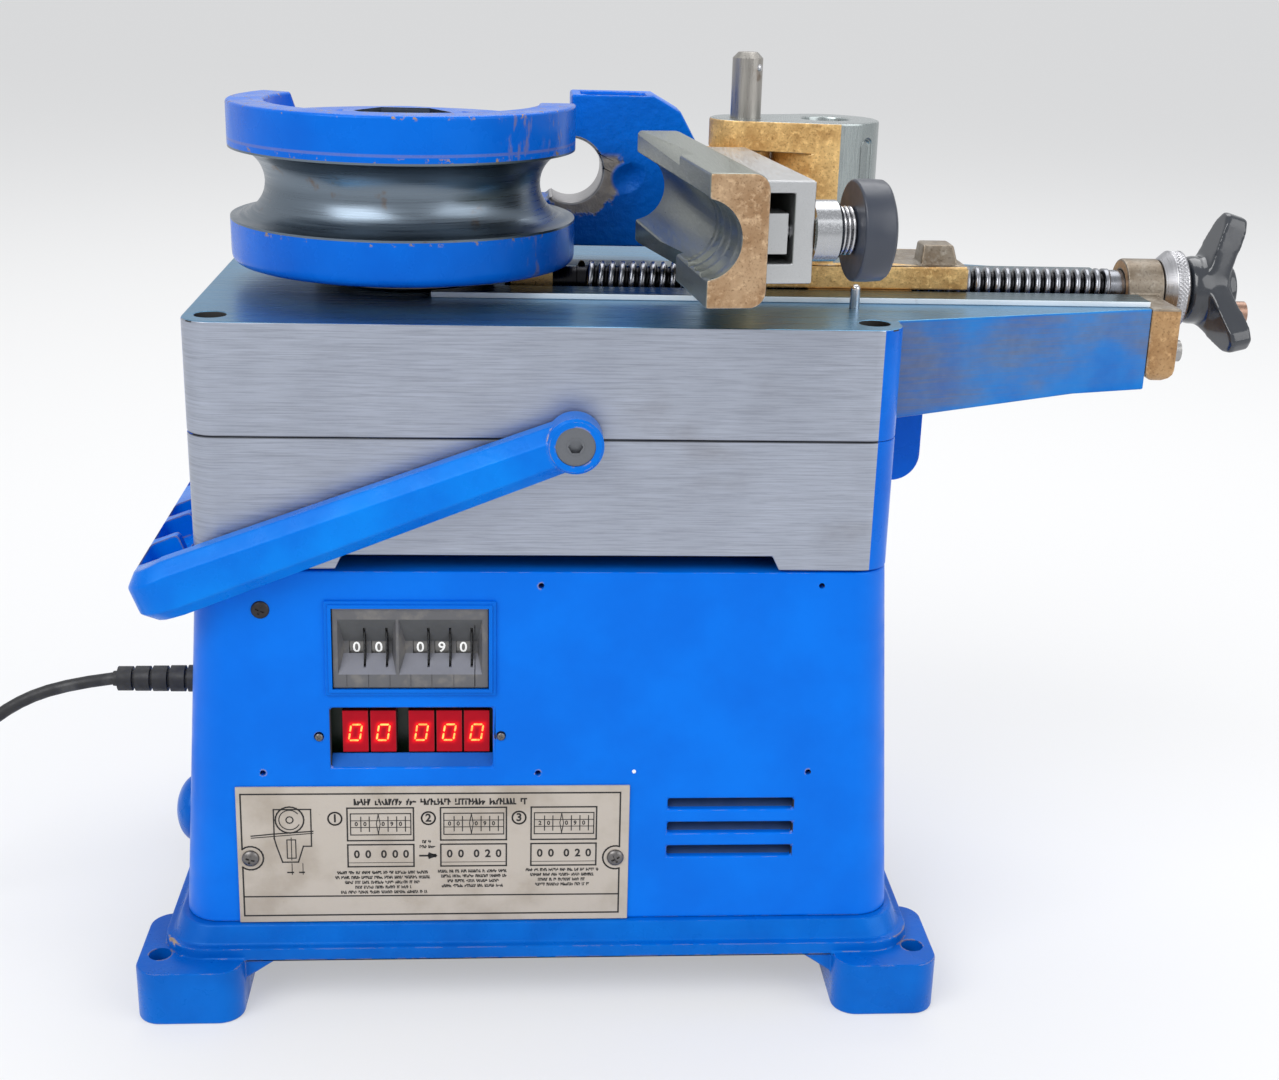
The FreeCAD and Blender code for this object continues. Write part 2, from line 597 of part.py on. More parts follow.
def gear_outline(teeth, phase):
    """Return the outline points of an involute gear, with a tooth centred at the phase angle."""
    module = float(d.gear_module)
    pitch = module * teeth / 2
    base = pitch * math.cos(math.radians(20))
    tip = pitch + module * 0.95
    foot = pitch - module * 1.2
    half = math.pi / (2 * teeth) - 0.05 / pitch
    flank_start = max(base, foot + 0.2)
    lean = math.tan(math.radians(20)) - math.radians(20)
    points = []
    for tooth in range(teeth):
        middle = math.radians(phase) + 2 * math.pi * tooth / teeth
        flank = []
        for step in range(5):
            radius = flank_start + (tip - flank_start) * step / 4
            swing = math.sqrt(max((radius / base) ** 2 - 1, 0))
            flank.append((radius, half + lean - (swing - math.atan(swing))))
        rising = [(foot, flank[0][1] + 0.02)] + flank
        points += [polar(radius, middle - angle) for radius, angle in rising]
        points += [polar(radius, middle + angle) for radius, angle in reversed(rising)]
    return points


def polar(radius, angle):
    """Return a point in plan at a radius and an angle in radians."""
    return Vector(radius * math.cos(angle), radius * math.sin(angle), 0)


def gear_solid(name, teeth, phase, x, bore):
    """Make a spur gear with a round bore, standing at x on the plane between front and back."""
    points = gear_outline(teeth, phase)
    face = Part.Face(Part.makePolygon(points + [points[0]]))
    solid = face.extrude(Vector(0, 0, float(d.gear_high - d.gear_low)))
    solid = solid.cut(Part.makeCylinder(float(bore), 100, Vector(0, 0, -1)))
    gear = doc.addObject("Part::Feature", name)
    gear.Shape = solid
    gear.Placement = Placement(Vector(float(x), 0, float(d.gear_low)), Rotation())
    return gear


def spindle_parts():
    """Spindle with its gear, nut and thrust collar, and the two bushes it turns in."""
    x = d.spindle_x
    journal = rod("spindle_rod", (x, 0, d.spindle_foot), d.spindle_radius, d.table_top - d.spindle_foot + 2)
    flange = rod("spindle_flange", (x, 0, d.table_top + 0.9), d.collar_radius - 8, 3)
    hexed = hexagon("spindle_hex", (x, 0, d.table_top + 3), d.hex_across, d.former_top - d.table_top - 8)
    solid = fused("spindle_solid", journal, flange, hexed)
    centre = cone("spindle_centre", (x, 0, d.former_top - 11), 0.5, 5, 6.1)
    piece("spindle", less("spindle_cut", solid, centre))
    seat = rod("collar_disc", (x, 0, d.rail_top + 0.2), d.collar_radius, d.former_low - d.rail_top - 0.2)
    bore = fused("collar_bore", rod("collar_hole", (x, 0, d.table_top), d.collar_radius - 8, 4.7),
                 hexagon("collar_hex", (x, 0, d.table_top), d.hex_across, 20))
    piece("thrust_collar", less("collar_cut", seat, bore))
    teeth = int(d.gear_teeth)
    piece("spindle_gear", gear_solid("wheel_teeth", teeth, 180 / teeth, x, d.spindle_radius))
    upper_low = d.hollow_top - d.gear_room
    floor = d.gear_low - d.gear_room
    bush("upper_bush", upper_low, d.table_top - 0.3, upper_low, d.hollow_top)
    bush("lower_bush", d.casting_low - 2, floor + 3, floor, floor + 3)
    nut = hexagon("nut_hex", (x, 0, d.spindle_foot + 1), d.nut_across, 9)
    nut_hole = rod("nut_hole", (x, 0, d.spindle_foot - 1), d.spindle_radius, 20)
    piece("spindle_nut", less("nut_cut", nut, nut_hole))


def bush(name, low, high, lip_low, lip_high):
    """Flanged bronze bush round the spindle, with its lip between two heights."""
    sleeve = rod(name + "_sleeve", (d.spindle_x, 0, low), d.bush_radius, high - low)
    lip = rod(name + "_lip", (d.spindle_x, 0, lip_low), d.bush_flange, lip_high - lip_low)
    hole = rod(name + "_hole", (d.spindle_x, 0, low - 1), d.spindle_radius + d.running, 60)
    piece(name, less(name + "_cut", fused(name + "_solid", sleeve, lip), hole))


def motor_parts():
    """Gear motor under the gear case and the pinion on its shaft."""
    x = pinion_x()
    foot_at = d.casting_low
    spigot = rod("motor_spigot", (x, 0, foot_at - 0.5), d.spigot_radius, 6)
    flange = slab("motor_flange_plate", rectangle(d.motor_flange, d.motor_flange, x, 0), foot_at - 6,
                  foot_at - 0.05, 8)
    reducer = rod("motor_reducer", (x, 0, foot_at - 44), d.motor_radius - 2, 39)
    can = rod("motor_can", (x, 0, d.motor_low), d.motor_radius, foot_at - 42 - d.motor_low)
    cover = rod("motor_cover", (x, 0, d.motor_low - 6), d.motor_radius - 7, 8)
    way = rod("motor_shaft_way", (x, 0, foot_at - 30), d.pinion_shaft_radius + d.running, 60)
    piece("gear_motor", less("motor_cut", fused("motor_solid", spigot, flange, reducer, can, cover), way))
    shaft = rod("pinion_rod", (x, 0, foot_at - 29), d.pinion_shaft_radius, d.gear_high - foot_at + 32)
    teeth = gear_solid("pinion_teeth_solid", int(d.pinion_teeth), 180.0, x, d.pinion_shaft_radius)
    piece("motor_pinion", fused("pinion_solid", shaft, teeth))


def former():
    """Bending former: two flanges, a half-round groove and a raised band, bored to fit the hexagon."""
    x = d.spindle_x
    radius = d.former_radius
    profile = [(Size(0), d.former_low), (radius - 5, d.former_low), (radius - 1.5, d.former_low + 1.5),
               (radius, d.former_low + 5), (radius, d.former_top), (d.band_inner, d.former_top),
               (d.band_inner, d.dish_floor), (d.hub_radius, d.dish_floor), (d.hub_radius, d.hub_top),
               (Size(0), d.hub_top)]
    blank = turned("former_blank", profile, (x, 0, 0))
    groove = doc.addObject("Part::Torus", "former_groove")
    bind(groove, "Radius1", radius)
    bind(groove, "Radius2", d.tube_radius)
    put(groove, (x, 0, d.tube_height))
    band_profile = [(d.band_inner, d.former_top - 1), (radius, d.former_top - 1),
                    (radius, d.band_top - 1.2), (radius - 1.2, d.band_top), (d.band_inner, d.band_top)]
    ring = turned("band_ring", band_profile, (x, 0, 0))
    wide = radius * 1.6
    sector = slab("band_sector", [(Size(0), Size(0)), (wide, Size(0)), (wide, -wide), (-wide, -wide),
                                  (-wide, wide * 0.8)],
                  d.former_top - 2, d.band_top + 1, at=(x, 0, 0))
    solid = fused("former_solid", less("former_grooved", blank, groove), common("band", ring, sector))
    bore = hexagon("former_bore", (x, 0, d.former_low - 1), d.hex_across, 80)
    holes = [rod(f"hook_thread_{index}", (at, 25, d.former_low + d.hook_screw_rise), d.hook_screw_radius,
                 50, "y") for index, at in enumerate(HOOK_SCREW_X)]
    piece("bending_former", less("former_cut", solid, bore, *holes))


def clamp_hook():
    """Clamp hook bolted to the former's lower flange; its hollow grips the tube ahead of the bend."""
    low = d.hook_low
    top = d.hook_top
    out = d.hook_out
    bend = d.hook_round
    ease = bend * 0.36
    outline = [(out - bend, low), (out, low + bend), (out, top - bend), (out - ease, top - ease),
               (out - bend, top), (d.hook_left, top), (d.hook_left, d.tube_height),
               (d.hook_lip, d.tube_height - 12.2), (d.hook_start, d.former_low + 16.8), (d.hook_start, low)]
    middle = (d.hook_near + d.hook_far) / 2
    block = side_slab("hook_block", outline, d.hook_far - d.hook_near, middle)
    hollow = rod("hook_hollow", (d.hook_left, d.hook_near - 1, d.tube_height), d.tube_radius - 0.1, 40, "y")
    dimple = rod("hook_dimple", (d.dimple_x, d.hook_near - 1, d.dimple_height), d.dimple_radius,
                 d.dimple_deep + 1, "y")
    seat = rod("hook_seat", (d.spindle_x, 0, low - 1), d.former_radius + 0.02, 90)
    height = d.former_low + d.hook_screw_rise
    ways = [rod(f"hook_way_{index}", (x, 30, height), d.hook_screw_radius + 0.2, 60, "y")
            for index, x in enumerate(HOOK_SCREW_X)]
    piece("clamp_hook", less("hook_cut", block, hollow, dimple, seat, *ways))
    screws = [cap_screw(f"hook_screw_{index}", (x, d.hook_far, height), d.hook_screw_radius, 34, "y")
              for index, x in enumerate(HOOK_SCREW_X)]
    piece("hook_screws", grouped("hook_screw_set", *screws))


# Closing drive

def lead_screw_parts():
    """Lead screw with its pilot and rest, end bracket, lock collar, three-arm knob and lock screw."""
    height = d.screw_height
    neck_radius = d.screw_neck_radius
    nose = rod("nose_rod", (d.screw_start, 0, height), d.nose_radius, d.nose_end - d.screw_start, "x")
    piece("screw_nose", nose)
    rest = box("rest_block", (d.rest_start, -d.rest_y / 2, d.trough_low),
               (d.rest_end, d.rest_y / 2, d.rest_top))
    rest_bore = rod("rest_bore", (d.rest_start - 1, 0, height), d.nose_radius + d.running, 30, "x")
    piece("screw_rest", less("rest_cut", rest, rest_bore))
    thread = rod("screw_thread", (d.nose_end, 0, height), d.screw_radius, d.thread_end - d.nose_end, "x")
    neck = rod("screw_neck", (d.thread_end, 0, height), neck_radius,
               d.knob_start + d.knob_seat - d.thread_end, "x")
    piece("lead_screw", fused("screw_solid", thread, neck))
    half = d.bracket_y / 2
    plate = slab_on_end("bracket_plate", [(-half, d.bracket_low), (half, d.bracket_low),
                                          (half, d.table_top), (-half, d.table_top)],
                        d.arm_end, d.bracket_end)
    arch = rod("bracket_arch", (d.arm_end, 0, height), d.bracket_boss,
               d.bracket_end - d.arm_end + 3, "x")
    bolt_height = d.bracket_low + 10
    bolt = d.bracket_bolt_radius
    ways = [rod(f"bracket_way_{index}", (d.arm_end - 1, y, bolt_height), bolt + 0.3, 20, "x")
            for index, y in enumerate(bracket_bolt_y())]
    bore = rod("bracket_bore", (d.arm_end - 1, 0, height), neck_radius + d.running, 30, "x")
    piece("end_bracket", less("bracket_cut", fused("bracket_solid", plate, arch), bore, *ways))
    bolts = [cap_screw(f"bracket_bolt_{index}", (d.bracket_end, y, bolt_height), bolt, 25, "x")
             for index, y in enumerate(bracket_bolt_y())]
    piece("bracket_bolts", grouped("bracket_bolt_set", *bolts))
    lock = [(Size(0), Size(0)), (d.lock_radius - 3.4, Size(0)), (d.lock_radius, Size(3.8)),
            (d.lock_radius, d.lock_long), (Size(0), d.lock_long)]
    hole = rod("lock_hole", (d.lock_start - 1, 0, height), neck_radius, 20, "x")
    piece("lock_collar", less("lock_cut", turned("lock_blank", lock, (d.lock_start, 0, height), "x"), hole))
    tri_knob()


def slab_on_end(name, corners, low, high):
    """Pad an outline of (y, z) corners from one x to another."""
    body = doc.addObject("PartDesign::Body", name)
    sketch = sketched(body, name + "_outline", "YZ_Plane", corners, low)
    pad = body.newObject("PartDesign::Pad", name + "_pad")
    pad.Profile = sketch
    bind(pad, "Length", high - low)
    return body


def tri_knob():
    """Three-arm hand knob on the lead screw, its arms swept outwards, with its lock screw."""
    height = d.screw_height
    hub = rod("knob_hub_rod", (d.knob_start + 3, 0, height), d.knob_hub, d.knob_end - d.knob_start - 3, "x")
    neck = cone("knob_neck", (d.knob_start, 0, height), d.knob_hub - 1.5, d.knob_hub, 3.1, "x")
    arms = [knob_arm(index, angle - d.knob_turn) for index, angle in enumerate((120, 240, 0))]
    solid = fused("knob_solid", hub, neck, *arms)
    bore = rod("knob_bore", (d.knob_start - 1, 0, height), d.screw_neck_radius, d.knob_seat + 1.5, "x")
    screw_at = (d.knob_start + d.knob_seat + 2, 0, height - d.lock_screw_drop)
    tapped = rod("knob_tapped", screw_at, d.lock_screw_radius, 30, "x")
    piece("tri_knob", less("knob_cut", solid, bore, tapped))
    piece("knob_screw", rod("knob_screw_rod", screw_at, d.lock_screw_radius, d.lock_screw_long, "x"))


def knob_arm(index, angle):
    """One arm of the hand knob, turned about the lead screw."""
    body = doc.addObject("PartDesign::Body", f"knob_arm_{index}")
    reach = d.knob_reach
    root = d.knob_root_wide / 2
    tip = d.knob_tip_wide / 2
    corners = [(-root, Size(0)), (root, Size(0)), (tip, reach - 3), (tip - 2.5, reach),
               (2.5 - tip, reach), (-tip, reach - 3)]
    sketch = sketched(body, f"knob_arm_outline_{index}", "YZ_Plane", corners)
    pad = body.newObject("PartDesign::Pad", f"knob_arm_pad_{index}")
    pad.Profile = sketch
    bind(pad, "Length", d.knob_arm_thick)
    sweep = Rotation(Vector(1, 0, 0), float(angle) - 90)
    sweep = sweep.multiply(Rotation(Vector(0, 1, 0), float(d.knob_sweep)))
    body.Placement = Placement(Vector(), sweep)
    return put(body, (d.knob_arm_start, 0, d.screw_height))


def carriage_parts():
    """Carriage on the rails: plate, column and upper jaw that holds the pivot pin, with its nut."""
    low = d.rail_top + d.slide_gap
    half = d.plate_y / 2
    plate = slab("carriage_plate", [(d.pin_x, -half), (d.plate_right, -half), (d.plate_right, half),
                                    (d.pin_x, half)], low, d.plate_top)
    boss = rod("carriage_boss", (d.pin_x, d.pin_y, low), d.pin_boss, d.jaw_seat - low)
    block = box("carriage_block", (d.block_left, d.block_near, low),
                (d.block_right, d.block_far, d.block_top))
    column = rod("carriage_column", (d.column_x, 0, d.plate_top - 1), d.column_radius,
                 d.column_top - d.plate_top + 1)
    jaw_tip = rod("jaw_tip", (d.pin_x, d.pin_y, d.jaw_low), d.pin_boss, d.column_top - d.jaw_low)
    jaw_web = slab("jaw_web", [(d.pin_x, d.pin_y - d.pin_boss), (d.column_x, -d.column_radius),
                               (d.column_x, d.column_radius), (d.pin_x, d.pin_y + d.pin_boss)],
                   d.jaw_low, d.column_top)
    solid = fused("carriage_solid", plate, boss, block, column, jaw_tip, jaw_web)
    neck_half = d.nut_neck / 2
    neck_top = d.plate_top - 1.4
    cuts = [rod("carriage_pin_hole", (d.pin_x, d.pin_y, d.pin_seat), d.pin_radius + d.running, 90),
            rod("carriage_screw_way", (d.pin_x - 30, 0, d.screw_height), d.screw_radius + 0.6, 150, "x"),
            box("carriage_nut_room", (d.nut_left, -neck_half, low - 1), (d.nut_right, neck_half, neck_top)),
            rod("column_eye", (d.column_x, 0, d.column_top - 3), 9, 10)]
    piece("carriage", less("carriage_cut", solid, *cuts))
    foot_half = d.nut_foot / 2
    nut_foot = box("nut_foot_block", (d.nut_left, -foot_half, d.trough_low + d.slide_gap),
                   (d.nut_right, foot_half, low))
    neck = box("nut_neck_block", (d.nut_left, -neck_half, d.trough_low + 4),
               (d.nut_right, neck_half, neck_top))
    bore = rod("nut_bore", (d.nut_left - 10, 0, d.screw_height), d.screw_radius + d.running, 60, "x")
    piece("carriage_nut", less("nut_block_cut", fused("nut_block", nut_foot, neck), bore))


def pivot_pin():
    """Loose steel pin with a sprung ball near its top."""
    length = d.pin_top - d.pin_seat - 0.3
    pin = turned("pin_blank", [(Size(0), Size(0)), (d.pin_radius - 1, Size(0)), (d.pin_radius, Size(1)),
                               (d.pin_radius, length - 2.2), (d.pin_radius - 2.2, length), (Size(0), length)],
                 (d.pin_x, d.pin_y, d.pin_seat + 0.3))
    height = d.pin_top - d.ball_drop
    pocket = doc.addObject("Part::Cylinder", "ball_pocket")
    bind(pocket, "Radius", d.ball_radius + d.running)
    bind(pocket, "Height", Size(8))
    outward = ((-float(d.ball_y), float(d.ball_x), 0), 90)
    put(pocket, (d.pin_x + d.ball_x * 0.6, d.pin_y + d.ball_y * 0.6, height), outward)
    ball = doc.addObject("Part::Sphere", "ball_round")
    bind(ball, "Radius", d.ball_radius)
    put(ball, (d.pin_x + d.ball_x, d.pin_y + d.ball_y, height))
    piece("pivot_pin", less("pin_cut", pin, pocket))
    piece("pin_ball", ball)


def yawed(name, feature):
    """Turn a solid that is laid out square to the pivot pin by the holder's yaw, round that pin."""
    group = grouped(name + "_turned", feature)
    return put(group, (d.pin_x, d.pin_y, 0), ((0, 0, 1), d.yaw))


def die_parts():
    """Channel-shaped holder and the counter-die that it carries, with the key that locks it."""
    body = box("holder_bar", (d.die_right, d.holder_front, d.holder_low),
               (d.holder_right, Size(9), d.holder_slim_top))
    head = box("holder_head", (d.die_right, d.holder_front, d.holder_low),
               (d.holder_right, d.holder_slim_y, d.holder_top))
    lug = rod("holder_lug_rod", (0, 0, d.holder_low), d.holder_lug, d.holder_slim_top - d.holder_low)
    bridge = box("holder_bridge", (d.holder_right - 1, Size(-9.4), d.holder_low),
                 (Size(0), Size(9), d.holder_slim_top))
    channel = box("holder_channel", (d.die_right - 1, d.holder_front - 1, d.channel_low),
                  (d.holder_web, d.holder_slim_y, d.channel_top))
    eye = rod("holder_eye", (0, 0, d.holder_low - 1), d.pin_radius + d.running, 60)
    way = rod("holder_plunger_way", (d.holder_web - 2, d.plunger_y, d.plunger_height),
              d.plunger_radius + d.running, 20, "x")
    holder = less("holder_cut", fused("holder_solid", body, head, lug, bridge), channel, eye, way)
    piece("die_holder", yawed("holder", holder))
    back = d.die_right - 0.05
    bar = box("die_bar", (d.die_left, d.die_front, d.die_low), (back, d.die_back, d.die_top))
    bar = softened("die_rounded", bar, 5.5, is_die_back_edge)
    groove = rod("die_groove", (d.die_left - 2, d.die_front - 1, d.tube_height), d.tube_radius, 140, "y")
    piece("counter_die", yawed("die", less("die_cut", bar, groove)))
    key = box("key_block", (back, d.plunger_y - 7, d.plunger_height - 6.5),
              (d.holder_web - 1.6, d.plunger_y + 7, d.plunger_height + 6.5))
    slot = box("key_slot", (d.holder_web - 6, d.plunger_y - 3.2, d.plunger_height - 3.2),
               (d.holder_web, d.plunger_y + 10, d.plunger_height + 3.2))
    piece("die_key", yawed("key", less("key_cut", key, slot)))


def is_die_back_edge(edge):
    """Pick the two long edges of the die that face the holder."""
    long_edge = edge.BoundBox.YLength > 50
    return long_edge and edge.BoundBox.Center.x > float(d.die_right) - 1


def plunger_parts():
    """Sprung plunger that locks the die: sleeve, spring, pin and round knob."""
    y = d.plunger_y
    z = d.plunger_height
    wall = d.holder_right
    sleeve = rod("sleeve_rod", (wall, y, z), d.sleeve_radius, d.sleeve_out - wall, "x")
    cap = rod("sleeve_cap", (d.sleeve_out, y, z), d.cap_radius, d.cap_out - d.sleeve_out, "x")
    room = rod("sleeve_room", (wall - 1, y, z), Size(6.5), d.sleeve_out + 3.5 - wall, "x")
    way = rod("sleeve_way", (wall - 1, y, z), d.plunger_radius + d.running, 30, "x")
    sleeve = less("sleeve_cut", fused("sleeve_solid", sleeve, cap), room, way)
    piece("plunger_sleeve", yawed("sleeve", sleeve))
    tip = d.holder_web - 4.5
    stem = rod("plunger_stem", (tip, y, z), d.plunger_radius, d.button_end - 6 - tip, "x")
    step = rod("plunger_step", (wall + 0.2, y, z), Size(5), 1.5, "x")
    piece("plunger_pin", yawed("pin_stem", fused("plunger_solid", stem, step)))
    spring = less("spring_tube", rod("spring_out", (wall + 1.8, y, z), Size(5.6), 3.4, "x"),
                  rod("spring_in", (wall + 1, y, z), d.plunger_radius + 0.1, 10, "x"))
    piece("plunger_spring", yawed("spring", spring))
    radius = d.button_radius
    long = d.button_end - d.button_out
    profile = [(Size(0), Size(0)), (radius - 2.2, Size(0)), (radius, Size(2.2)), (radius, long * 0.55),
               (radius - 2.4, long * 0.85), (radius - 5.5, long), (Size(0), long)]
    button = turned("button_blank", profile, (d.button_out, y, z), "x")
    bore = rod("button_bore", (d.button_out - 1, y, z), d.plunger_radius, long - 5, "x")
    piece("plunger_knob", yawed("button", less("button_cut", button, bore)))


# Carrying handle

def carry_handle():
    """Cast carrying handle: two arms from the pivots and a bar across the left end."""
    arm_in = d.table_y / 2 + d.handle_gap
    arm_out = arm_in + d.handle_deep
    half = d.handle_tall / 2
    arms = []
    for name, low in (("front", -arm_out), ("rear", arm_in)):
        high = low + d.handle_deep
        arms.append(box(f"handle_{name}_bar", (-d.grip_far, low, -half), (Size(0), high, half)))
        arms.append(rod(f"handle_{name}_eye", (0, low, 0), d.eye_radius, d.handle_deep, "y"))
    thick = d.grip_tall / 2
    grip = box("handle_grip", (-d.grip_far, -arm_out, -thick), (-d.grip_near, arm_out, thick))
    solid = fused("handle_solid", *arms, grip)
    room = box("handle_room", (-d.grip_far, -arm_out, -20), (Size(20), arm_out, 20))
    soft = common("handle_soft", solid, softened("handle_trim", room, d.handle_corner, is_handle_corner))
    hole = rod("handle_bore", (0, -arm_out - 1, 0), d.pivot_radius + d.running, 250, "y")
    whole = grouped("handle_turned", less("handle_cut", soft, hole))
    piece("carry_handle", put(whole, (d.pivot_x, 0, d.pivot_height), ((0, 1, 0), -d.handle_slope)))
    handle_screws(arm_out)


def handle_screws(arm_out):
    """Two pivot screws, each clamped between the castings and sunk in its eye of the handle."""
    inner = d.table_y / 2 - d.pivot_deep
    outer = arm_out - 0.4
    key = Size(2.6)
    screws = []
    for name, start, socket_start in (("front", -outer, -outer), ("rear", inner, outer - key)):
        shank = rod(f"pivot_{name}_shank", (d.pivot_x, start, d.pivot_height), d.pivot_radius,
                    outer - inner, "y")
        socket = rod(f"pivot_{name}_socket", (d.pivot_x, socket_start, d.pivot_height), Size(3.2), key, "y")
        screws.append(less(f"pivot_{name}", shank, socket))
    piece("handle_screws", grouped("handle_screw_set", *screws))


def is_handle_corner(edge):
    """Pick the two upright outer corners of the handle."""
    return edge.BoundBox.ZLength > 10 and edge.BoundBox.Center.x < -float(d.grip_far) + 1


# Controls

def angle_preset():
    """Bezel in the cabinet front with five number wheels on one axle."""
    top = d.bezel_top
    rim = d.bezel_rim
    front = face_y(top) - d.bezel_proud - 1.6
    body = box("bezel_block", (d.bezel_left + 1.6, front, d.bezel_low + 1.6),
               (d.bezel_right - 1.6, d.bezel_back, top - 1.6))
    flange = box("bezel_flange", (d.bezel_left, front, d.bezel_low), (d.bezel_right, face_y(top) - 0.05, top))
    solid = fused("bezel_solid", body, flange)
    room = box("bezel_room", (d.bezel_left + rim, front - 1, d.bezel_low + rim),
               (d.bezel_right - rim, d.bezel_back - 1.5, top - rim + 1))
    skin = tapered("cabinet_skin_for_bezel", (d.cabinet_base_x, d.cabinet_base_y), d.step_top,
                   (d.cabinet_x, d.cabinet_y), d.cabinet_top)
    window = box("bezel_window_keep", (d.bezel_left + 1.5, front - 1, d.bezel_low + 1.5),
                 (d.bezel_right - 1.5, Size(0), top - 1.5))
    wall = less("bezel_wall", skin, window)
    piece("angle_bezel", less("bezel_cut", solid, room, wall))
    piece("wheel_axle", rod("axle_rod", (d.bezel_left + rim, d.wheel_y, d.wheel_height), d.axle_radius,
                            d.bezel_right - d.bezel_left - 2 * rim, "x"))
    for index, x in enumerate(WHEEL_X):
        disc = rod(f"wheel_disc_{index}", (x - d.wheel_wide / 2, d.wheel_y, d.wheel_height),
                   d.wheel_radius, d.wheel_wide, "x")
        hole = rod(f"wheel_hole_{index}", (x - 10, d.wheel_y, d.wheel_height),
                   d.axle_radius + d.running, 20, "x")
        piece(f"angle_wheel_{index + 1}", less(f"wheel_cut_{index}", disc, hole))


def display():
    """Five seven-segment digits on their board behind the display window, and the control board."""
    modules = []
    for index, x in enumerate(DIGIT_X):
        low = (x - d.digit_wide / 2, d.digit_front, d.digit_low)
        high = (x + d.digit_wide / 2, d.board_front, d.digit_low + d.digit_tall)
        modules.append(box(f"digit_{index}", low, high))
    piece("display_digits", grouped("display_digit_set", *modules))
    piece("display_board", box("board_plate", (d.window_left - 2, d.board_front, d.window_low - 3),
                               (d.window_right + 2, d.board_front + d.board_thick, d.window_top + 2)))
    back = d.card_back
    card = box("control_card", (Size(-112), back - d.board_thick, Size(60)), (Size(-30), back, Size(116)))
    relay = box("card_relay", (Size(-105), back, Size(70)), (Size(-86), back + 16, Size(98)))
    transformer = box("card_transformer", (Size(-78), back, Size(66)), (Size(-44), back + 28, Size(104)))
    piece("control_board", fused("control_solid", card, relay, transformer))


def instruction_plate():
    """Thin plate that lies on the sloping cabinet front, its two screws, and the front's own screws."""
    slope = math.radians(float(d.draft))
    low = d.sheet_low
    thick = d.sheet_thick
    origin = (d.sheet_left, face_y(low) - thick * math.cos(slope) - 0.02, low + thick * math.sin(slope))
    plate = doc.addObject("Part::Box", "plate_sheet")
    bind(plate, "Length", d.sheet_right - d.sheet_left)
    bind(plate, "Width", thick)
    bind(plate, "Height", d.sheet_top - low)
    put(plate, origin, ((1, 0, 0), -d.draft))
    holes = [rod(f"plate_hole_{index}", (x, face_y(Size(z)) - 6, z), Size(2.6), 12, "y")
             for index, (x, z) in enumerate(PLATE_SCREWS)]
    piece("instruction_plate", less("plate_cut", plate, *holes))
    for name, spots, radius, proud in (("plate_screw", PLATE_SCREWS, 2.5, 1.9),
                                       ("front_screw", FRONT_SCREWS, 3.2, 1.5)):
        screws = [round_screw(name, index, x, z, radius, proud) for index, (x, z) in enumerate(spots)]
        piece(name + "s", grouped(name + "_set", *screws))


def round_screw(name, index, x, z, radius, proud):
    """Small domed screw on the cabinet front."""
    face = face_y(Size(z))
    head = rod(f"{name}_head_{index}", (x, face - proud, z), radius, proud - 0.25, "y")
    shank = rod(f"{name}_shank_{index}", (x, face - proud, z), d.front_hole_radius - 0.05, proud + 6, "y")
    return fused(f"{name}_{index}", head, shank)


# Lead

CORD_ROUTE = (
    (-171.0, -20.0, 100.0), (-192.0, -20.4, 97.4), (-214.0, -21.4, 88.0), (-233.0, -23.2, 71.0),
    (-246.0, -25.6, 49.0), (-256.0, -28.6, 27.5), (-269.0, -33.6, 10.5), (-286.0, -40.5, 3.6),
    (-305.0, -49.0, 2.6), (-325.0, -59.0, 2.6),
)
CORD_TAIL = (
    (-362.57, 16.13, 8.1), (-351.1, 22.2, 8.0), (-338.0, 27.4, 7.6), (-325.6, 33.9, 7.1),
    (-314.7, 41.1, 6.95),
)


def cord_arcs(points):
    """Return the edges of a route: straight runs joined by arcs as large as the runs allow."""
    spots = [Vector(*point) for point in points]
    edges = []
    start = spots[0]
    for before, corner, after in zip(spots, spots[1:], spots[2:]):
        coming = (corner - before).normalize()
        going = (after - corner).normalize()
        turn = coming.getAngle(going)
        setback = 0.45 * min((corner - before).Length, (after - corner).Length)
        radius = setback / math.tan(turn / 2)
        print(f"cord arc radius {radius:.1f} mm")
        first = corner - coming * setback
        last = corner + going * setback
        inward = (going - coming).normalize()
        middle = corner + inward * (radius / math.cos(turn / 2) - radius)
        edges.append(Part.LineSegment(start, first).toShape())
        edges.append(Part.Arc(first, middle, last).toShape())
        start = last
    edges.append(Part.LineSegment(start, spots[-1]).toShape())
    return edges


def tube_along(name, edges):
    """Sweep the cord's round section along a wire and compare the volume with section times length."""
    wire = Part.Wire(edges)
    start = wire.OrderedVertexes[0].Point
    heading = edges[0].tangentAt(edges[0].FirstParameter)
    radius = float(d.cord_radius)
    ring = Part.Wire(Part.makeCircle(radius, start, heading))
    solid = wire.makePipeShell([ring], True, False)
    ideal = math.pi * radius ** 2 * wire.Length
    share = abs(solid.Volume) / ideal
    print(f"{name}: length {wire.Length:.0f} mm, volume {share:.4f} of section times length")
    tube = doc.addObject("Part::Feature", name + "_tube")
    tube.Shape = solid if solid.Volume > 0 else solid.reversed()
    return tube


def lead():
    """Strain relief on the cabinet's left side and the free stretch of the lead."""
    exit_at = Vector(*CORD_ROUTE[0])
    side = side_x(d.cord_exit)
    length = float(side) - exit_at.x
    grip = turned("grip_blank", grip_profile(length), (side, d.cord_exit_y, d.cord_exit), "-x")
    piece("cord_grip", grip)
    piece("cord_lead", tube_along("cord_lead", cord_arcs(CORD_ROUTE)))


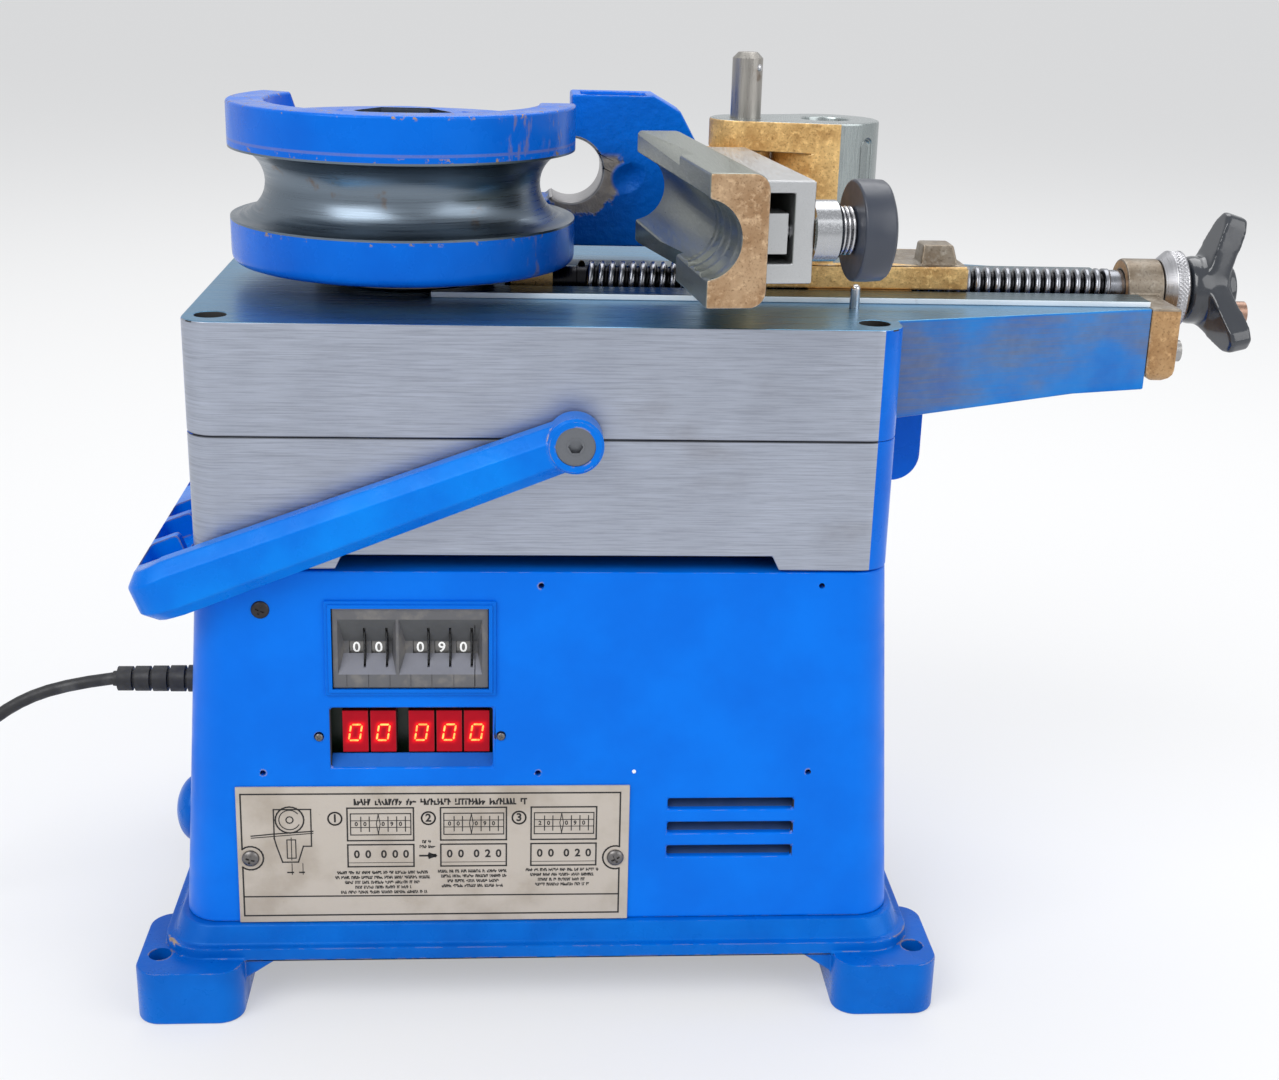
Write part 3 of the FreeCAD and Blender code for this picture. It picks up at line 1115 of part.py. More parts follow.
def half_turn(start, heading, radius, climb):
    """Return the two quarter arcs of a half turn to the right, which may climb, and where it ends."""
    aside = Vector(heading.y, -heading.x, 0)
    end = start + aside * (2 * radius) + Vector(0, 0, climb)
    reach = (end - start).Length / 2
    joint = (start + end) / 2 + heading * reach
    first = quarter_arc(start, heading, joint)
    second = quarter_arc(joint, (end - start).normalize(), end)
    return [first, second], end


def quarter_arc(start, heading, end):
    """Return the arc that leaves a point along a heading and ends at another point."""
    chord = end - start
    along = Vector(chord).normalize()
    swing = heading.getAngle(chord)
    across = (heading - along * heading.dot(along)).normalize()
    middle = start + chord / 2 + across * (chord.Length / 2 * math.tan(swing / 2))
    return Part.Arc(start, middle, end).toShape()


def coil_edges():
    """Return the coil's path: in layer by layer, spiralling in, climbing, and spiralling out again."""
    straight = 2 * float(d.cord_radius)
    before = Vector(*CORD_ROUTE[-2])
    start = Vector(*CORD_ROUTE[-1])
    heading = (start - before).normalize()
    at = start + heading * straight
    edges = [Part.LineSegment(start, at).toShape()]
    turns = int(d.coil_half_turns)
    for index in range(2 * turns + 1):
        radius = float(d.coil_inner) + abs(turns - index) * float(d.coil_pitch) / 2
        climb = float(d.coil_pitch) if index == turns else 0.0
        arcs, at = half_turn(at, heading, radius, climb)
        edges += arcs
        heading = heading * -1
    end = at + heading * straight
    edges.append(Part.LineSegment(at, end).toShape())
    print(f"coil ends at {end.x:.2f} {end.y:.2f} {end.z:.2f}, heading {heading.x:.4f} {heading.y:.4f}")
    return edges


def least_gap(edges):
    """Measure on points how near the coil's surface comes to itself."""
    spots = []
    run = 0.0
    for edge in edges:
        count = max(2, int(edge.Length / 2))
        for point in edge.discretize(count)[:-1]:
            spots.append((run, point))
            run += edge.Length / (count - 1)
    near = 6 * float(d.cord_radius)
    gaps = [(first[1] - second[1]).Length for index, first in enumerate(spots)
            for second in spots[index + 1:] if second[0] - first[0] > near]
    return min(gaps) - 2 * float(d.cord_radius)


def coil_and_plug():
    """Put-away coil of the lead in two layers, its tail, and a flat two-pin plug beside it."""
    edges = coil_edges()
    print(f"coil: least gap to itself {least_gap(edges):.2f} mm")
    piece("cord_coil", tube_along("cord_coil", edges))
    piece("cord_tail", tube_along("cord_tail", cord_arcs(CORD_TAIL)))
    end = Vector(*CORD_TAIL[-1])
    heading = end - Vector(*CORD_TAIL[-2])
    angle = math.degrees(math.atan2(heading.y, heading.x))
    long = d.plug_long
    wide = d.plug_wide / 2
    outline = [(Size(0), Size(-4.5)), (Size(9), Size(-5.5)), (Size(16), -wide), (long, -wide), (long, wide),
               (Size(16), wide), (Size(9), Size(5.5)), (Size(0), Size(4.5))]
    body = slab("plug_body", outline, -d.plug_tall / 2, d.plug_tall / 2, 2.5)
    pins = [rod(f"plug_pin_{index}", (long - 6, y, 0), d.plug_pin_radius, d.plug_pin_long + 6, "x")
            for index, y in enumerate((-d.plug_pin_gap / 2, d.plug_pin_gap / 2))]
    whole = grouped("plug_turned", fused("plug_solid", body, *pins))
    piece("cord_plug", put(whole, tuple(Size(value) for value in end), ((0, 0, 1), angle)))


def grip_profile(length):
    """Return the outline of the ribbed strain relief, from inside the wall to its tip."""
    radius = d.grip_radius
    hole = radius - 1.5
    profile = [(Size(0), Size(-6)), (hole, Size(-6)), (hole, Size(0.4)), (radius + 1, Size(0.4)),
               (radius + 1, Size(4))]
    at = 4.0
    rib = (length - 6.0) / 5
    for index in range(5):
        ring = radius - 0.12 * index
        profile += [(ring - 1.4, Size(at)), (ring - 1.4, Size(at + 1.3)), (ring, Size(at + 1.3)),
                    (ring, Size(at + rib))]
        at += rib
    profile += [(radius - 2.2, Size(at)), (radius - 2.4, Size(length)), (Size(0), Size(length))]
    return profile


def build():
    """Make every part of the machine."""
    base_casting()
    cabinet_shell()
    socket_cap()
    gearbox_casting()
    table_casting()
    table_bolts()
    cabinet_bolts()
    rails()
    stop_pin()
    spindle_parts()
    motor_parts()
    former()
    clamp_hook()
    lead_screw_parts()
    carriage_parts()
    pivot_pin()
    die_parts()
    plunger_parts()
    carry_handle()
    angle_preset()
    display()
    instruction_plate()
    lead()
    coil_and_plug()


def checked():
    """Recompute and stop on any feature that failed or any part without a sound solid."""
    doc.recompute()
    failed = [item.Name for item in doc.Objects if {"Invalid", "Error"} & set(item.State)]
    if failed:
        raise SystemExit(f"failed features: {failed}")
    for item in pieces:
        if item.Shape.isNull() or not item.Shape.isValid() or not item.Shape.Solids:
            raise SystemExit(f"{item.Label} has no sound solid")


def written():
    """Write each part to its own file."""
    os.makedirs("parts", exist_ok=True)
    for item in pieces:
        item.Shape.exportStep(f"parts/{item.Label}.step")
        box_at = item.Shape.BoundBox
        print(f"{item.Label}: {len(item.Shape.Solids)} solids, x {box_at.XMin:.1f} {box_at.XMax:.1f}, "
              f"y {box_at.YMin:.1f} {box_at.YMax:.1f}, z {box_at.ZMin:.1f} {box_at.ZMax:.1f}")


build()
checked()
written()
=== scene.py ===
import math
import random

import bmesh
import bpy
from mathutils import Matrix, Vector


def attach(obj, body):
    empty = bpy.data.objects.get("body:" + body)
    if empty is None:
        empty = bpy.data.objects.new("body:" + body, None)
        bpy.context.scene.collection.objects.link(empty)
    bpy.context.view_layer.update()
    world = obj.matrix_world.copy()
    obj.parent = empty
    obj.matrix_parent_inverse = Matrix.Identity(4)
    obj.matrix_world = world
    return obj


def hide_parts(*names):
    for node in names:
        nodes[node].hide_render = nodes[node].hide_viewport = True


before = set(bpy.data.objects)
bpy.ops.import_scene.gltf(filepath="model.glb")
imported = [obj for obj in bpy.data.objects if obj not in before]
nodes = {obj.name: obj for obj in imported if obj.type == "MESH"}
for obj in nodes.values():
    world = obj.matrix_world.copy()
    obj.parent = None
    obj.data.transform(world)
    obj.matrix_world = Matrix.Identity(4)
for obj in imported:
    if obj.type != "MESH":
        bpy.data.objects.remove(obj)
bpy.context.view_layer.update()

# Rotary draw bender: a bench machine that bends tube round a turning former.
# Pieces are modelled in millimetres, in the machine's own frame, and come into the scene in metres.
# The front panel faces -Y, the arm with the lead screw reaches out along +X, and +Z is up.
MM = 0.001


# Camera: it stands where the photograph was taken from, in front of the machine, a little above it,
# turned slightly to the right and held not quite level.
EYE = Vector((-0.00991, -0.67615, 0.38290))
YAW, PITCH, ROLL = (math.radians(angle) for angle in (4.228, 18.749, -1.628))
forward = Vector((math.sin(YAW) * math.cos(PITCH), math.cos(YAW) * math.cos(PITCH), -math.sin(PITCH)))
level = Vector((math.cos(YAW), -math.sin(YAW), 0))
plumb = forward.cross(level)
right = level * math.cos(ROLL) + plumb * math.sin(ROLL)
below = plumb * math.cos(ROLL) - level * math.sin(ROLL)
lens = bpy.data.cameras.new("camera")
lens.lens = 49.117
lens.sensor_width = 36
lens.clip_start = 0.01
camera = bpy.data.objects.new("camera", lens)
camera.matrix_world = Matrix.Translation(EYE) @ Matrix((right, -below, -forward)).transposed().to_4x4()
bpy.context.scene.collection.objects.link(camera)
bpy.context.scene.camera = camera
bpy.context.scene.view_settings.view_transform = "Standard"


# Studio: a plain pale floor under soft, even light from three large lamps and a pale room.
# The floor and the room look near white to the camera, to mirrors and through glass.
class Finish:
    """A surface finish: one shader and the small steps that feed it, read in the piece's own space."""

    def __init__(self, name, colour, roughness, metallic=0.0, **fixed):
        self.material = bpy.data.materials.new(name)
        self.material.use_nodes = True
        self.tree = self.material.node_tree
        self.shader = self.tree.nodes["Principled BSDF"]
        self.place = self.step("TexCoord").outputs["Object"]
        self.feed("Base Color", (*colour, 1))
        self.feed("Roughness", roughness)
        self.feed("Metallic", metallic)
        for socket, value in fixed.items():
            self.feed(socket.replace("_", " "), value)

    def step(self, kind, **settings):
        """Add one node and set its properties."""
        made = self.tree.nodes.new("ShaderNode" + kind)
        for key, value in settings.items():
            setattr(made, key, value)
        return made

    def join(self, value, socket):
        """Give a socket another step's output or a plain value."""
        if isinstance(value, bpy.types.NodeSocket):
            self.tree.links.new(value, socket)
        else:
            socket.default_value = value

    def feed(self, socket, value):
        """Give one of the shader's sockets an output or a plain value."""
        self.join(value, self.shader.inputs[socket])

    def grain(self, size, stretch=(1, 1, 1), turn=(0, 0, 0), detail=3.0, rough=0.55, twist=0.0):
        """Return even noise whose marks are about a size in mm, drawn out along the axes."""
        mapping = self.step("Mapping")
        self.join(self.place, mapping.inputs["Vector"])
        mapping.inputs["Rotation"].default_value = tuple(math.radians(angle) for angle in turn)
        mapping.inputs["Scale"].default_value = tuple(1 / way for way in stretch)
        marks = self.step("TexNoise")
        self.join(mapping.outputs["Vector"], marks.inputs["Vector"])
        for socket, value in (("Scale", 1 / (size * MM)), ("Detail", detail), ("Roughness", rough),
                              ("Distortion", twist)):
            marks.inputs[socket].default_value = value
        return marks.outputs["Fac"]

    def spread(self, value, low, high, start=0.0, end=1.0):
        """Return a value drawn out from one range to another, with soft ends."""
        drawn = self.step("MapRange", interpolation_type="SMOOTHSTEP")
        for socket, number in zip(("Value", "From Min", "From Max", "To Min", "To Max"),
                                  (value, low, high, start, end)):
            self.join(number, drawn.inputs[socket])
        return drawn.outputs["Result"]

    def sum(self, operation, first, second):
        """Return one sum of two values."""
        worked = self.step("Math", operation=operation)
        self.join(first, worked.inputs[0])
        self.join(second, worked.inputs[1])
        return worked.outputs["Value"]

    def blend(self, share, under, over):
        """Return a colour between two, by a share from 0 to 1."""
        mixed = self.step("Mix", data_type="RGBA")
        self.join(share, mixed.inputs[0])
        for socket, colour in ((mixed.inputs[6], under), (mixed.inputs[7], over)):
            self.join(colour if isinstance(colour, bpy.types.NodeSocket) else (*colour, 1), socket)
        return mixed.outputs[2]

    def edges(self, radius):
        """Return a mask that is 1 along the edges of the piece, as wide as a radius in mm."""
        rounded = self.step("Bevel", samples=4)
        rounded.inputs["Radius"].default_value = radius * MM
        flat = self.step("NewGeometry").outputs["True Normal"]
        match = self.step("VectorMath", operation="DOT_PRODUCT")
        self.join(rounded.outputs["Normal"], match.inputs[0])
        self.join(flat, match.inputs[1])
        return self.spread(match.outputs["Value"], 0.99, 0.8)

    def along(self, letter):
        """Return the place along one axis, in metres."""
        split = self.step("SeparateXYZ")
        self.join(self.place, split.inputs[0])
        return split.outputs[letter]

    def away(self, point, keep=(1, 1, 1)):
        """Return the distance in metres from a point in mm, with some axes left out of it."""
        mapping = self.step("Mapping")
        self.join(self.place, mapping.inputs["Vector"])
        mapping.inputs["Scale"].default_value = keep
        gap = self.step("VectorMath", operation="DISTANCE")
        self.join(mapping.outputs["Vector"], gap.inputs[0])
        gap.inputs[1].default_value = tuple(part * MM * share for part, share in zip(point, keep))
        return gap.outputs["Value"]

    def spot(self, point, radius, soft=1.0, keep=(1, 1, 1)):
        """Return a mask that is 1 near a point and fades out at a radius in mm."""
        return self.spread(self.away(point, keep), (radius - soft) * MM, (radius + soft) * MM, 1.0, 0.0)

    def relief(self, height, depth, strength=1.0):
        """Raise the surface by a height map, as deep as a depth in mm."""
        bump = self.step("Bump")
        bump.inputs["Strength"].default_value = strength
        bump.inputs["Distance"].default_value = depth * MM
        self.join(height, bump.inputs["Height"])
        if self.shader.inputs["Normal"].links:
            self.join(self.shader.inputs["Normal"].links[0].from_socket, bump.inputs["Normal"])
        self.feed("Normal", bump.outputs["Normal"])


FLOOR_HALF = 20000
FLOOR_COLOUR = (0.80, 0.80, 0.80)


def pale_to_the_eye(tree, lit, strength):
    """Return a shader that looks near white to the camera and mirrors, and is lit plainly for the rest."""
    path = tree.nodes.new("ShaderNodeLightPath")
    seen = path.outputs["Is Camera Ray"]
    for ray in ("Is Glossy Ray", "Is Transmission Ray"):
        either = tree.nodes.new("ShaderNodeMath")
        either.operation = "MAXIMUM"
        tree.links.new(seen, either.inputs[0])
        tree.links.new(path.outputs[ray], either.inputs[1])
        seen = either.outputs["Value"]
    share = tree.nodes.new("ShaderNodeMath")
    share.operation = "MULTIPLY"
    tree.links.new(seen, share.inputs[0])
    share.inputs[1].default_value = strength
    glow = tree.nodes.new("ShaderNodeEmission")
    glow.inputs["Color"].default_value = (0.93, 0.93, 0.93, 1)
    both = tree.nodes.new("ShaderNodeMixShader")
    tree.links.new(share.outputs["Value"], both.inputs[0])
    tree.links.new(lit, both.inputs[1])
    tree.links.new(glow.outputs["Emission"], both.inputs[2])
    return both.outputs["Shader"]


floor_finish = Finish("studio_floor", FLOOR_COLOUR, 0.9)
floor_out = floor_finish.tree.nodes["Material Output"]
floor_finish.tree.links.new(pale_to_the_eye(floor_finish.tree, floor_finish.shader.outputs[0], 0.45),
                            floor_out.inputs["Surface"])
bm = bmesh.new()
bmesh.ops.create_grid(bm, x_segments=1, y_segments=1, size=FLOOR_HALF * MM)
floor_mesh = bpy.data.meshes.new("floor")
bm.to_mesh(floor_mesh)
bm.free()
floor_mesh.materials.append(floor_finish.material)
floor = bpy.data.objects.new("floor", floor_mesh)
bpy.context.scene.collection.objects.link(floor)

room = bpy.data.worlds.new("room")
bpy.context.scene.world = room
room.use_nodes = True
room_light = room.node_tree.nodes["Background"]
room_light.inputs["Color"].default_value = (0.95, 0.97, 1.0, 1)
room_light.inputs["Strength"].default_value = 0.62
room.node_tree.links.new(pale_to_the_eye(room.node_tree, room_light.outputs[0], 0.35),
                         room.node_tree.nodes["World Output"].inputs["Surface"])

LAMPS = (("key", (-1.1, -1.3, 1.7), 1.5, 30), ("fill", (1.5, -1.1, 1.1), 1.5, 14),
         ("top", (0.3, 0.9, 1.9), 1.6, 20))
for name, spot, size, power in LAMPS:
    light = bpy.data.lights.new(name, "AREA")
    light.size = size
    light.energy = power
    lamp = bpy.data.objects.new(name, light)
    aim = (Vector(spot) - Vector((0, 0, 0.15))).to_track_quat("Z", "Y")
    lamp.matrix_world = Matrix.Translation(spot) @ aim.to_matrix().to_4x4()
    bpy.context.scene.collection.objects.link(lamp)


# Mains lead: a 5 mm round black rubber cord that leaves the cabinet's left side through its relief,
# drops to the bench, lies to a put-away coil in two layers, and ends in a moulded two-pin plug.
CORD_ROUTE = (
    (-0.171, -0.0200, 0.1000), (-0.192, -0.0204, 0.0974), (-0.214, -0.0214, 0.0880),
    (-0.233, -0.0232, 0.0710), (-0.246, -0.0256, 0.0490), (-0.256, -0.0286, 0.0275),
    (-0.269, -0.0336, 0.0105), (-0.286, -0.0405, 0.0036), (-0.305, -0.0490, 0.0026),
    (-0.325, -0.0590, 0.0026),
)
CORD_TAIL = (
    (-0.36257, 0.01613, 0.0081), (-0.3511, 0.0222, 0.0080), (-0.3380, 0.0274, 0.0076),
    (-0.3256, 0.0339, 0.0071), (-0.3147, 0.0411, 0.00695),
)
CORD_RADIUS = 0.0025
COIL_INNER = 0.020
COIL_PITCH = 0.0055
COIL_HALF_TURNS = 7
POINTS_PER_HALF_TURN = 10


def coil_points():
    """Work out the coil: in turn by turn, up one layer in the middle half turn, and out again."""
    at = Vector(CORD_ROUTE[-1])
    heading = (at - Vector(CORD_ROUTE[-2])).normalized()
    at = at + heading * 2 * CORD_RADIUS
    spots = [at.copy()]
    for index in range(2 * COIL_HALF_TURNS + 1):
        radius = COIL_INNER + abs(COIL_HALF_TURNS - index) * COIL_PITCH / 2
        climb = COIL_PITCH if index == COIL_HALF_TURNS else 0.0
        aside = Vector((heading.y, -heading.x, 0))
        centre = at + aside * radius
        for count in range(1, POINTS_PER_HALF_TURN + 1):
            share = count / POINTS_PER_HALF_TURN
            angle = math.pi * share
            spots.append(centre - aside * radius * math.cos(angle) + heading * radius * math.sin(angle)
                         + Vector((0, 0, climb * share)))
        at = spots[-1]
        heading = -heading
    return spots


rubber = Finish("black_rubber", (0.018, 0.018, 0.02), 0.55)
dust = rubber.spread(rubber.grain(9, detail=5), 0.52, 0.75)
rubber.feed("Base Color", rubber.blend(dust, (0.014, 0.014, 0.016), (0.05, 0.05, 0.05)))
rubber.feed("Roughness", rubber.spread(rubber.grain(4), 0.3, 0.7, 0.42, 0.62))
rubber.relief(rubber.grain(0.5), 0.02)

route = [Vector(point) for point in CORD_ROUTE] + coil_points() + [Vector(point) for point in CORD_TAIL]
cord_line = bpy.data.curves.new("mains_lead", "CURVE")
cord_line.dimensions = "3D"
spline = cord_line.splines.new("NURBS")
spline.points.add(len(route) - 1)
for point, spot in zip(spline.points, route):
    point.co = (*spot, 1)
spline.order_u = 3
spline.use_endpoint_u = True
spline.resolution_u = 4
cord_line.bevel_depth = CORD_RADIUS
cord_line.bevel_resolution = 5
cord_line.use_fill_caps = True
cord_line.materials.append(rubber.material)
mains_lead = bpy.data.objects.new("mains_lead", cord_line)
bpy.context.scene.collection.objects.link(mains_lead)


def finished(bm, name, finishes, body, stands_for=(), sharp=32):
    """Bring a piece modelled in mm into the scene, smooth except at sharp edges, on its body."""
    bmesh.ops.scale(bm, vec=(MM, MM, MM), verts=bm.verts)
    mesh = bpy.data.meshes.new(name)
    bm.to_mesh(mesh)
    bm.free()
    for finish in finishes:
        mesh.materials.append(finish.material)
    mesh.shade_smooth()
    mesh.set_sharp_from_angle(angle=math.radians(sharp))
    made = bpy.data.objects.new(name, mesh)
    bpy.context.scene.collection.objects.link(made)
    made.modifiers.new("even_shading", "WEIGHTED_NORMAL").keep_sharp = True
    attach(made, body)
    if stands_for:
        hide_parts(*stands_for)
    return made


SECTION_ALONG_X = Matrix(((0, 0, 1, 0), (1, 0, 0, 0), (0, 1, 0, 0), (0, 0, 0, 1)))


def extruded(outline, low, high, flip=None):
    """Draw an outline in plan and raise it from one height to another; flip stands it up another way."""
    bm = bmesh.new()
    face = bm.faces.new([bm.verts.new((x, y, low)) for x, y in outline])
    raised = bmesh.ops.extrude_face_region(bm, geom=[face])
    top = [item for item in raised["geom"] if isinstance(item, bmesh.types.BMVert)]
    bmesh.ops.translate(bm, vec=(0, 0, high - low), verts=top)
    bmesh.ops.recalc_face_normals(bm, faces=bm.faces)
    if flip:
        bmesh.ops.transform(bm, matrix=flip, verts=bm.verts)
        bmesh.ops.recalc_face_normals(bm, faces=bm.faces)
    return bm


def eased(bm, width, segments=2, sharp=28, pick=None):
    """Round the sharp edges of a piece, or only those that a test picks."""
    limit = math.radians(sharp)
    edges = [edge for edge in bm.edges if edge.is_manifold and edge.calc_face_angle(0) > limit
             and (pick is None or pick(edge))]
    bmesh.ops.bevel(bm, geom=edges, offset=width, offset_type="OFFSET", affect="EDGES",
                    segments=segments, profile=0.5, material=-1, clamp_overlap=False)
    return bm


def turned(profile, centre, axis="z", steps=64, start=0.0, sweep=360.0, ends=True):
    """Turn a profile of (radius, height) points about an axis through a centre, and close its ends."""
    bm = bmesh.new()
    spots = [bm.verts.new((radius, 0, height)) for radius, height in profile]
    lines = [bm.edges.new(pair) for pair in zip(spots, spots[1:])]
    bmesh.ops.rotate(bm, verts=spots, cent=(0, 0, 0), matrix=Matrix.Rotation(math.radians(start), 3, "Z"))
    bmesh.ops.spin(bm, geom=spots + lines, cent=(0, 0, 0), axis=(0, 0, 1), angle=math.radians(sweep),
                   steps=steps, use_merge=sweep == 360.0)
    bmesh.ops.remove_doubles(bm, verts=bm.verts, dist=0.0005)
    if sweep != 360.0 and ends:
        bmesh.ops.holes_fill(bm, edges=[edge for edge in bm.edges if edge.is_boundary], sides=0)
    bmesh.ops.recalc_face_normals(bm, faces=bm.faces)
    turn = {"z": Matrix(), "x": Matrix.Rotation(math.radians(90), 4, "Y"),
            "y": Matrix.Rotation(math.radians(-90), 4, "X"),
            "-y": Matrix.Rotation(math.radians(90), 4, "X")}[axis]
    bmesh.ops.transform(bm, matrix=Matrix.Translation(centre) @ turn, verts=bm.verts)
    return bm


def joined(*parts):
    """Put several pieces of mesh into one, each with its own material index."""
    whole = bmesh.new()
    for index, part in enumerate(parts):
        part, finish_index = part if isinstance(part, tuple) else (part, None)
        for face in part.faces:
            if finish_index is not None:
                face.material_index = finish_index
        mesh = bpy.data.meshes.new(f"part_{index}")
        part.to_mesh(mesh)
        part.free()
        whole.from_mesh(mesh)
        bpy.data.meshes.remove(mesh)
    return whole


def block(left, right, near, far, low, top):
    """Make a box between six limits."""
    bm = bmesh.new()
    bmesh.ops.create_cube(bm, size=1)
    bmesh.ops.scale(bm, vec=(right - left, far - near, top - low), verts=bm.verts)
    bmesh.ops.translate(bm, vec=((left + right) / 2, (near + far) / 2, (low + top) / 2), verts=bm.verts)
    return bm


PLUG_LONG = 36
PLUG_HALF = 13
PLUG_THICK = 13.7
plug_end = Vector(CORD_TAIL[-1]) / MM
plug_way = plug_end - Vector(CORD_TAIL[-2]) / MM
plug_turn = Matrix.Rotation(math.atan2(plug_way.y, plug_way.x), 4, "Z")
plug_place = Matrix.Translation(plug_end) @ plug_turn
plug_outline = [(0, -4.5), (9, -5.5), (16, -PLUG_HALF), (PLUG_LONG, -PLUG_HALF), (PLUG_LONG, PLUG_HALF),
                (16, PLUG_HALF), (9, 5.5), (0, 4.5)]
plug_body = extruded(plug_outline, -PLUG_THICK / 2, PLUG_THICK / 2)
eased(plug_body, 2.4, 3)
plug_pins = [turned([(0, 0), (2, 0), (2, 24), (1.4, 25), (0, 25)], (PLUG_LONG - 6, side * 9.3, 0), "x", 20)
             for side in (-1, 1)]
plug = joined((plug_body, 0), *((pin, 1) for pin in plug_pins))
bmesh.ops.transform(plug, matrix=plug_place, verts=plug.verts)
pin_metal = Finish("plug_pins", (0.7, 0.68, 0.6), 0.25, 1.0)
pin_metal.feed("Roughness", pin_metal.spread(pin_metal.grain(1.5), 0.3, 0.7, 0.18, 0.4))
cord_plug = finished(plug, "plug", [rubber, pin_metal], "frame", ["cord_plug"])


def finish_node(node, finish):
    """Give a node that keeps its own shape a finish."""
    mesh = nodes[node].data
    if not mesh.materials:
        mesh.materials.append(finish.material)
    for index in range(len(mesh.materials)):
        nodes[node].material_slots[index].material = finish.material


finish_node("cord_grip", rubber)
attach(mains_lead, "frame")
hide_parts("cord_lead", "cord_coil", "cord_tail")


# Base casting: an iron tray with four bolted feet that carries the cabinet, cast and painted blue.
# Its rim and step have coved corners, and the paint is thin and worn along its edges.
def node_copy(node):
    """Return a merged copy of a node's mesh in mm, with its flat faces whole again."""
    bm = bmesh.new()
    bm.from_mesh(nodes[node].data)
    bmesh.ops.scale(bm, vec=(1 / MM, 1 / MM, 1 / MM), verts=bm.verts)
    bmesh.ops.remove_doubles(bm, verts=bm.verts, dist=0.003)
    bmesh.ops.dissolve_degenerate(bm, edges=bm.edges, dist=0.003)
    bmesh.ops.dissolve_limit(bm, angle_limit=math.radians(0.6), verts=bm.verts, edges=bm.edges)
    for face in bm.faces:
        face.material_index = 0
    return bm


def painted(bm, pick):
    """Give each face the finish number that a test returns for it."""
    bm.normal_update()
    for face in bm.faces:
        face.material_index = pick(face.normal, face.calc_center_median())
    return bm


def blue_enamel(name, deep=(0.0, 0.105, 0.56), bright=(0.0, 0.15, 0.70), bare=(0.30, 0.22, 0.16),
                wear=0.5, cast=0.05, cast_size=2.5, chips=0.0, gloss=0.24, rubbed=None):
    """Blue enamel on a casting, worn to brown metal along the edges, where chipped and where rubbed."""
    finish = Finish(name, bright, gloss, Specular_IOR_Level=0.4, Specular_Tint=(0.22, 0.55, 1.0, 1.0))
    cloud = finish.spread(finish.grain(45, detail=4), 0.3, 0.7)
    paint = finish.blend(cloud, deep, bright)
    rub = finish.sum("MULTIPLY", finish.edges(1.3), finish.spread(finish.grain(7, detail=5), 0.35, 0.62))
    rub = finish.spread(rub, 0.75 - wear * 0.6, 0.95 - wear * 0.5)
    flaked = finish.spread(finish.grain(5, detail=6, rough=0.7), 0.80 - chips * 0.2, 0.84 - chips * 0.2)
    worn = finish.sum("MAXIMUM", rub, flaked)
    if rubbed:
        worn = finish.sum("MAXIMUM", worn, rubbed(finish))
    metal = finish.blend(finish.grain(3, detail=4), bare, tuple(part * 1.7 for part in bare))
    finish.feed("Base Color", finish.blend(worn, paint, metal))
    finish.feed("Metallic", finish.spread(worn, 0, 1, 0.0, 0.55))
    dulled = finish.spread(finish.grain(12, detail=5), 0.3, 0.75, gloss, gloss + 0.18)
    finish.feed("Roughness", finish.sum("MAXIMUM", dulled, finish.spread(worn, 0, 1, 0.0, 0.5)))
    lumps = finish.grain(cast_size, detail=4)
    finish.relief(finish.sum("SUBTRACT", lumps, finish.sum("MULTIPLY", worn, 0.6)), cast)
    return finish


cast_blue = blue_enamel("cast_blue", (0.0, 0.085, 0.42), (0.0, 0.13, 0.56), wear=0.6, cast=0.12, chips=0.15)
FOOT_HOLE = (142.5, 98)
base = eased(node_copy("base_casting"), 0.9, pick=lambda edge: all(
    math.hypot(abs(end.co.x) - FOOT_HOLE[0], abs(end.co.y) - FOOT_HOLE[1]) > 6 for end in edge.verts))
finished(base, "base_tray", [cast_blue], "frame", ["base_casting"])


# Cabinet: a drafted sheet and cast housing, smooth blue enamel, pierced in front for the number wheels,
# the display, three cooling slots and a few small holes, with a round cap on its left side.
CABINET_HALF_Y = 86
CASTING_LOW = 170.5
DRAFT = math.radians(3.3)


def front_y(height):
    """Return how far forward the sloping front stands at a height."""
    return -(CABINET_HALF_Y + (CASTING_LOW - height) * math.tan(DRAFT))


def cut(bm, *tools):
    """Cut closed meshes out of a piece and return what is left."""
    made = []
    for index, part in enumerate((bm, *tools)):
        mesh = bpy.data.meshes.new(f"cutting_{index}")
        part.to_mesh(mesh)
        part.free()
        made.append(bpy.data.objects.new(f"cutting_{index}", mesh))
        bpy.context.scene.collection.objects.link(made[-1])
    for tool in made[1:]:
        modifier = made[0].modifiers.new("cut", "BOOLEAN")
        modifier.operation = "DIFFERENCE"
        modifier.solver = "EXACT"
        modifier.object = tool
    ready = made[0].evaluated_get(bpy.context.evaluated_depsgraph_get())
    whole = bmesh.new()
    whole.from_mesh(ready.to_mesh())
    ready.to_mesh_clear()
    for thing in made:
        mesh = thing.data
        bpy.data.objects.remove(thing)
        bpy.data.meshes.remove(mesh)
    return whole


SMALL_HOLES = ((-1.2, 164.5), (100.7, 164.8), (-1.9, 92.1), (99.2, 92.0), (-102.6, 92.6))
PAINT_DOT = (33.8, 92.5)

cabinet = node_copy("cabinet_shell")
eased(cabinet, 1.0)
drills = [turned([(0, 0), (1.1, 0), (1.1, 9), (0, 9)], (x, front_y(z) - 1.5, z), "y", 16)
          for x, z in SMALL_HOLES]
cabinet = cut(cabinet, *drills)
smooth_blue = blue_enamel("smooth_blue", (0.0, 0.125, 0.64), (0.0, 0.155, 0.73), wear=0.35, cast=0.02,
                          cast_size=1.5, gloss=0.3)
# Near black for inner faces, recesses, holes and the backing behind the slots: a painted shade.
painted_shade_black = Finish("inside_painted_shade", (0.02, 0.02, 0.022), 0.7)
painted_shade_black.feed("Base Color", painted_shade_black.blend(painted_shade_black.grain(12), (0.012, 0.012, 0.013),
                                                 (0.035, 0.034, 0.033)))


